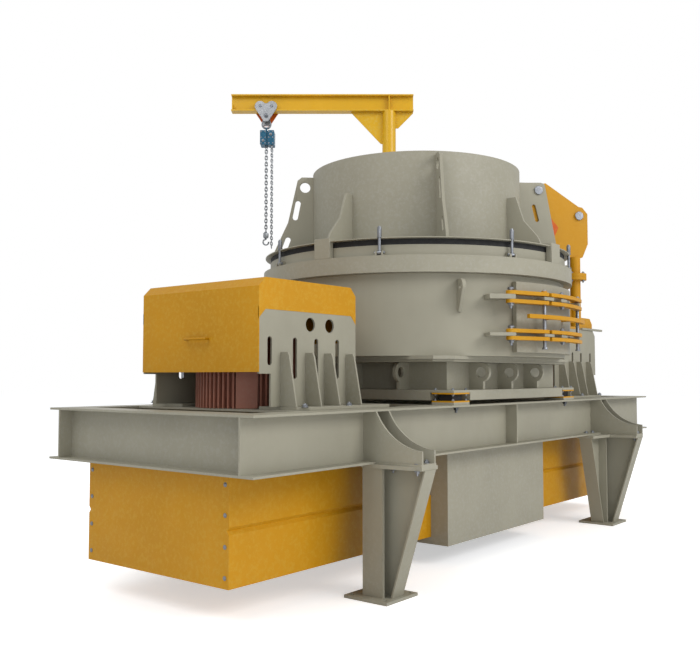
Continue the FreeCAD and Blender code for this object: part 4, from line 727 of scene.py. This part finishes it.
for z, half in ((ARM_HIGH, 0.0180), (ARM_LOW, 0.0130)):
    board(bm, [[(0.020, -0.134), (0.150, -0.134), (0.180, -0.012)] + arc(0, 0, 0.038, 85, 270),
               hole(0, 0, 0.0141)], beside, z - half, z + half)
stand_in("chamber_wall", bm, "base", "chamber_shell")

# Lugs and fins round the hopper, as outlines of radius and height
LUG_R, LUG_TOP = 0.916, 3.173           # on the hopper's wall, and their upper edge
bm = bmesh.new()
tall = [(LUG_R, LID_TOP), (1.275, LID_TOP), (1.258, 2.507), (1.223, 2.587), (1.141, 2.766),
        (1.058, 3.142), (1.020, LUG_TOP), (LUG_R, LUG_TOP)]
tall_cuts = [hole(0.990, 3.082, 0.046), gap(1.052, 2.941, 1.077, 2.812, 0.023),
             gap(1.140, 2.615, 1.166, 2.544, 0.023)]
for angle in (45, 135, -135):
    board(bm, [tall] + tall_cuts, radial(angle), -0.0125, 0.0125)
wide = [(LUG_R, LID_TOP), (1.290, LID_TOP), (1.290, 2.610), (1.206, 3.065), (1.190, 3.150),
        (1.177, 3.168), (1.150, 3.176), (1.020, LUG_TOP), (LUG_R, LUG_TOP)]
wide_cuts = [hole(*LID_PIN, 0.0306), gap(1.112, 2.832, 1.083, 2.956, 0.017)]
for low in (-0.034, 0.018):
    board(bm, [wide] + wide_cuts, radial(LIFTER), low, low + 0.016)
fin = [(LUG_R, LID_TOP), (1.230, LID_TOP), (1.205, 2.519), (1.187, 2.550), (1.070, 2.685),
       (1.000, 2.890), (LUG_R, 2.890)]
for angle in (0, 90, 180, 270):
    board(bm, [fin], radial(angle), -0.010, 0.010)
stand_in("hopper_lug_plates", bm, "lid", "hopper_lugs")

# Lid lifter: a tube on the shell, and a ram whose plate stands between the two lug plates
bm = bmesh.new()
lathe(bm, polar(LIFTER_R, LIFTER, 0), Z,
      [(0.047, 1.869), (0.047, 2.288), (0.100, 2.288), (0.100, JOINT_Z),
       (0.0306, JOINT_Z), (0.0306, 1.869), (0.047, 1.869)], 40, False)
bmesh.ops.remove_doubles(bm, verts=bm.verts[:], dist=1e-5)
board(bm, [[(1.278, 1.840), (1.370, 1.869), (1.434, 1.900), (1.434, 2.150), (1.278, 2.150)]],
      radial(LIFTER), -0.015, 0.015)
shelf = plane(ORIGIN, polar(1, LIFTER, 0), BESIDE)
for z in (1.900, 2.120):
    board(bm, [rect(1.278, -0.055, 1.434, 0.055)], shelf, z, z + 0.020)
stand_in("lifter_tube", bm, "base", "lifter_bracket")
bm = bmesh.new()
lathe(bm, polar(LIFTER_R, LIFTER, 0), Z,
      [(0.030, 1.899), (0.030, JOINT_Z), (0.100, JOINT_Z), (0.100, JOINT_Z + FLANGE_T),
       (0.047, JOINT_Z + FLANGE_T), (0.047, 2.500)], 40)
board(bm, [[(1.203, 3.177), (1.100, 3.150), (1.050, 3.080), (1.060, 2.800), (1.290, 2.570),
            (1.440, 2.492), (1.523, 2.492), (1.545, 2.500), (1.596, 2.622), (1.596, 2.900),
            (1.547, 2.959), (1.513, 2.965)]], radial(LIFTER), -0.015, 0.015)
for (r, z), size, half in ((LID_PIN, 0.030, 0.040), (ARM_PIN, 0.038, 0.023)):
    lathe(bm, polar(r, LIFTER, z) - BESIDE * half, BESIDE, [(size, 0), (size, 2 * half)], 32)
stand_in("lifter_plate", bm, "lid", "lifter_arm")

# Door: four curved straps on knuckles and brackets, and the curved bar
bm = bmesh.new()
for z in (2.040, 1.975, 1.755, 1.700):
    board(bm, [band(1.372, STRAP_OUT, -99.2, -71.5)], FLAT, z - 0.014, z + 0.014)
for a, z0, z1, r in ((ROD_2, 1.650, 2.065, 0.014), (MID, 1.9535, 2.0615, 0.012),
                     (MID, 1.6775, 1.7775, 0.012)):
    lathe(bm, polar(PIN_R, a, z0), Z, [(r, 0), (r, z1 - z0)], 20)
stand_in("door_strap_pairs", bm, "door", "door_straps")
bm = bmesh.new()
knuckle = arc(0, 0, STRAP_OUT, -102.8, -98, 6) + arc(0, 0, DOOR_OUT, -96.5, -103.2, 6)
spot = polar(PIN_R, ROD, 0)
for z, half in ((ARM_HIGH, 0.012), (ARM_LOW, 0.010)):
    board(bm, [knuckle, hole(spot.x, spot.y, 0.0146)], FLAT, z - half, z + half)
    for a in (MID, ROD_2):
        board(bm, [band(DOOR_OUT, 1.420, a - 2, a + 2, 4)], FLAT, z - half, z + half)
bmesh.ops.recalc_face_normals(bm, faces=bm.faces[:])
piece("door_brackets", bm, GREY, "door")
bm = bmesh.new()
board(bm, [band(1.418, 1.450, -110, -69)], FLAT, BAR_Z, BAR_Z + 0.032)
for a in (-97, -84):
    board(bm, [rect(DOOR_OUT, BAR_Z + 0.004, 1.422, BAR_Z + 0.028)], radial(a), -0.020, 0.020)
stand_in("door_bar", bm, "door", "door_handle")

# Trolley: heart-shaped side plates, wheels on the flange, an axle and the hanger
bm = bmesh.new()
heart = [(-0.022, -0.124), (0.022, -0.124)] + arc(0.06285, 0.0433, 0.058, -33.5, 146.5)
heart += arc(-0.06285, 0.0433, 0.058, 33.5, 213.5)
hanging = plane(on_jib(TROLLEY, 0, BEAM_LOW), ALONG, Z)
for low in (-0.078, 0.068):
    board(bm, [heart], hanging, low, low + 0.010)
for way in (-1, 1):
    for ds in (-0.062, 0.062):
        lathe(bm, on_jib(TROLLEY + ds, 0.028 * way, 4.3306), ACROSS * way,
              [(0.032, 0), (0.032, 0.044)], 28)
lathe(bm, on_jib(TROLLEY, -0.068, 4.224), ACROSS, [(0.018, 0), (0.018, 0.136)], 20)
board(bm, [rect(-0.040, -0.148, 0.040, -0.048)], hanging, -0.010, 0.010)
stand_in("trolley_plates", bm, "jib_trolley", "trolley")

# Motors: a finned body with a smooth pad, in the open notch of each cradle
FINS, FOOT, PAD = 64, 1.204, 222      # number of fins, their foot, and the pad's angle
for name, degrees, node in (("motor_left_fins", 0, "motor_left"),
                            ("motor_right_fins", 180, "motor_right")):
    place = turned(degrees) @ Matrix.Translation((-MOTOR_X, 0, 0))
    middle = place @ Vector(ORIGIN)
    bm = bmesh.new()
    lathe(bm, middle, Z, [(0.330, FOOT), (0.338, 1.208), (0.338, 1.866), (0.360, 1.866),
                          (0.360, 1.936), (0.295, 1.996)], 64)
    for k in range(FINS):
        a = 360 * k / FINS
        if abs(a - PAD) > 13:
            board(bm, [rect(0.334, -0.0065, 0.374, 0.0065)], place @ turned(a), FOOT, 1.850)
    board(bm, [rect(0.300, -0.072, 0.372, 0.072)], place @ turned(PAD), FOOT, 1.800)
    board(bm, [rect(-0.395, -0.170, -0.235, 0.170)], place, 1.446, 1.706)
    lathe(bm, middle, Z, [(0.045, 1.130), (0.045, 1.206)], 24)
    stand_in(name, bm, "base", node)

# Sheet corners of the hoods, down to the bevelled corners of the cheeks
bm = bmesh.new()
for degrees in (0, 180):
    place = turned(degrees) @ UPRIGHT
    for y in (-0.5650, 0.5592):
        board(bm, [[(-HOOD_X1, 1.776), (-2.542, 1.781), (-2.486, 1.836), (-2.480, 1.848),
                    (-HOOD_X1, 1.848)]], place, y, y + 0.0058)
        board(bm, [[(-HOOD_X0, 1.776), (-1.589, 1.781), (-1.638, 1.836), (-1.644, 1.848),
                    (-HOOD_X0, 1.848)]], place, y, y + 0.0058)
bmesh.ops.recalc_face_normals(bm, faces=bm.faces[:])
piece("hood_corners", bm, YELLOW)

# Lid disc with its eight bolt slots, and four blocks that stand on the band
bm = bmesh.new()
edge = []
for a in BOLT_TURNS:
    edge += arc(0, 0, 1.335, a - 44.4, a - 0.6, 14)
    turn = math.radians(a)
    for r, w in ((BOLT_R, -0.013), (1.312, -0.006), (1.312, 0.006), (BOLT_R, 0.013)):
        edge.append((r * math.cos(turn) - w * math.sin(turn),
                     r * math.sin(turn) + w * math.cos(turn)))
board(bm, [edge, hole(0, 0, 0.300, 48)], FLAT, LID_LOW, LID_TOP)
for a in (0, 90, 181.9, 270):
    board(bm, [[(1.296, BAND_TOP), (1.345, BAND_TOP), (1.345, 2.470), (1.230, 2.470),
                (1.230, 2.4485), (1.296, 2.4485)]], radial(a), -0.0735, 0.0735)
stand_in("lid_disc", bm, "lid", "lid_plate")

# Hoist: a square block with two covers on each face
bm = bmesh.new()
face = plane(JIB, ALONG, Z)
board(bm, [rect(1.244, 3.912, 1.392, 4.066)], face, -0.056, 0.056)
for way in (-1, 1):
    for s0 in (1.242, 1.327):
        low, high = sorted((0.056 * way, 0.070 * way))
        board(bm, [[(s0 + 0.006, 3.910), (s0 + 0.061, 3.910), (s0 + 0.067, 3.916),
                    (s0 + 0.067, 4.062), (s0 + 0.061, 4.068), (s0 + 0.006, 4.068),
                    (s0, 4.062), (s0, 3.916)]], face, low, high)
ring = []
for k in range(16):
    a = math.pi * k / 8
    ring.append(on_jib(TROLLEY, 0.020 * math.cos(a), 4.090 + 0.020 * math.sin(a)))
tube(bm, ring, 0.006, 10, closed=True)
lathe(bm, on_jib(TROLLEY, 0, 4.064), Z, [(0.014, 0), (0.010, 0.012)], 16)
stand_in("hoist_block", bm, "jib_trolley", "hoist")

# Stage, light and camera

bpy.ops.mesh.primitive_plane_add(size=120)
floor = bpy.context.object
floor.name = "floor"
n = Nodes("pale_floor")
n.shader.inputs["Roughness"].default_value = 0.6
n.link(n.ramp(n.noise(0.6), [(0.0, (0.85,)), (1.0, (0.88,))]), n.shader.inputs["Base Color"])
# A glow that only the camera sees keeps the floor as pale as the world behind it
path = n.add("ShaderNodeLightPath")
glow = n.add("ShaderNodeEmission")
glow.inputs["Strength"].default_value = 1.0
both = n.add("ShaderNodeAddShader")
pale = n.mix(path.outputs["Is Camera Ray"], (0, 0, 0, 1), (0.50, 0.50, 0.50, 1))
n.link(pale, glow.inputs["Color"])
n.link(n.shader.outputs[0], both.inputs[0])
n.link(glow.outputs[0], both.inputs[1])
n.link(both.outputs[0], n.tree.nodes["Material Output"].inputs["Surface"])
floor.data.materials.append(n.mat)

# Soft sky light on the part, and plain white behind it
world = bpy.data.worlds.new("studio")
bpy.context.scene.world = world
world.use_nodes = True
tree = world.node_tree
for old in list(tree.nodes):
    tree.nodes.remove(old)
out = tree.nodes.new("ShaderNodeOutputWorld")
soft = tree.nodes.new("ShaderNodeBackground")
soft.inputs["Color"].default_value = (0.95, 0.97, 1.0, 1)
soft.inputs["Strength"].default_value = 0.60
white = tree.nodes.new("ShaderNodeBackground")
white.inputs["Color"].default_value = (1, 1, 1, 1)
white.inputs["Strength"].default_value = 1.0
path = tree.nodes.new("ShaderNodeLightPath")
pick = tree.nodes.new("ShaderNodeMixShader")
seen = tree.nodes.new("ShaderNodeMath")
seen.operation = "MAXIMUM"
tree.links.new(path.outputs["Is Camera Ray"], seen.inputs[0])
tree.links.new(path.outputs["Is Transmission Ray"], seen.inputs[1])
tree.links.new(seen.outputs[0], pick.inputs[0])
tree.links.new(soft.outputs[0], pick.inputs[1])
tree.links.new(white.outputs[0], pick.inputs[2])
tree.links.new(pick.outputs[0], out.inputs["Surface"])


def area_light(name, at, target, size, power):
    """A rectangular lamp that points at a target."""
    lamp = bpy.data.lights.new(name, "AREA")
    lamp.shape = "RECTANGLE"
    lamp.size, lamp.size_y = size
    lamp.energy = power
    thing = bpy.data.objects.new(name, lamp)
    bpy.context.collection.objects.link(thing)
    thing.location = at
    thing.rotation_euler = (Vector(target) - Vector(at)).to_track_quat("-Z", "Y").to_euler()


area_light("key", (0.5, -10.0, 7.2), (0.2, 0, 1.5), (6, 5), 600)
area_light("fill", (-7.5, 0.5, 9.0), (0, 0, 1.8), (6, 6), 300)
area_light("low", (-6.5, -7.5, 1.6), (0, 0, 0.9), (5, 2.5), 90)
area_light("rim", (6.0, 6.5, 8.5), (0, 0, 2.0), (6, 4), 420)

# The photograph's viewpoint, fitted to the straight edges of the frame
SENSOR, FOCAL_PX, PHOTO_PX = 36.0, 854.397, 700.0
camera = bpy.data.cameras.new("camera")
camera.sensor_width = SENSOR
camera.lens = SENSOR * FOCAL_PX / PHOTO_PX
camera.clip_end = 500
view = bpy.data.objects.new("camera", camera)
bpy.context.collection.objects.link(view)
view.location = (-6.2987, -4.2809, 1.4126)
forward = Vector((0.7800, 0.6232, 0.0558)).normalized()
view.rotation_euler = forward.to_track_quat("-Z", "Y").to_euler()
scene = bpy.context.scene
scene.camera = view
scene.view_settings.view_transform = "Standard"
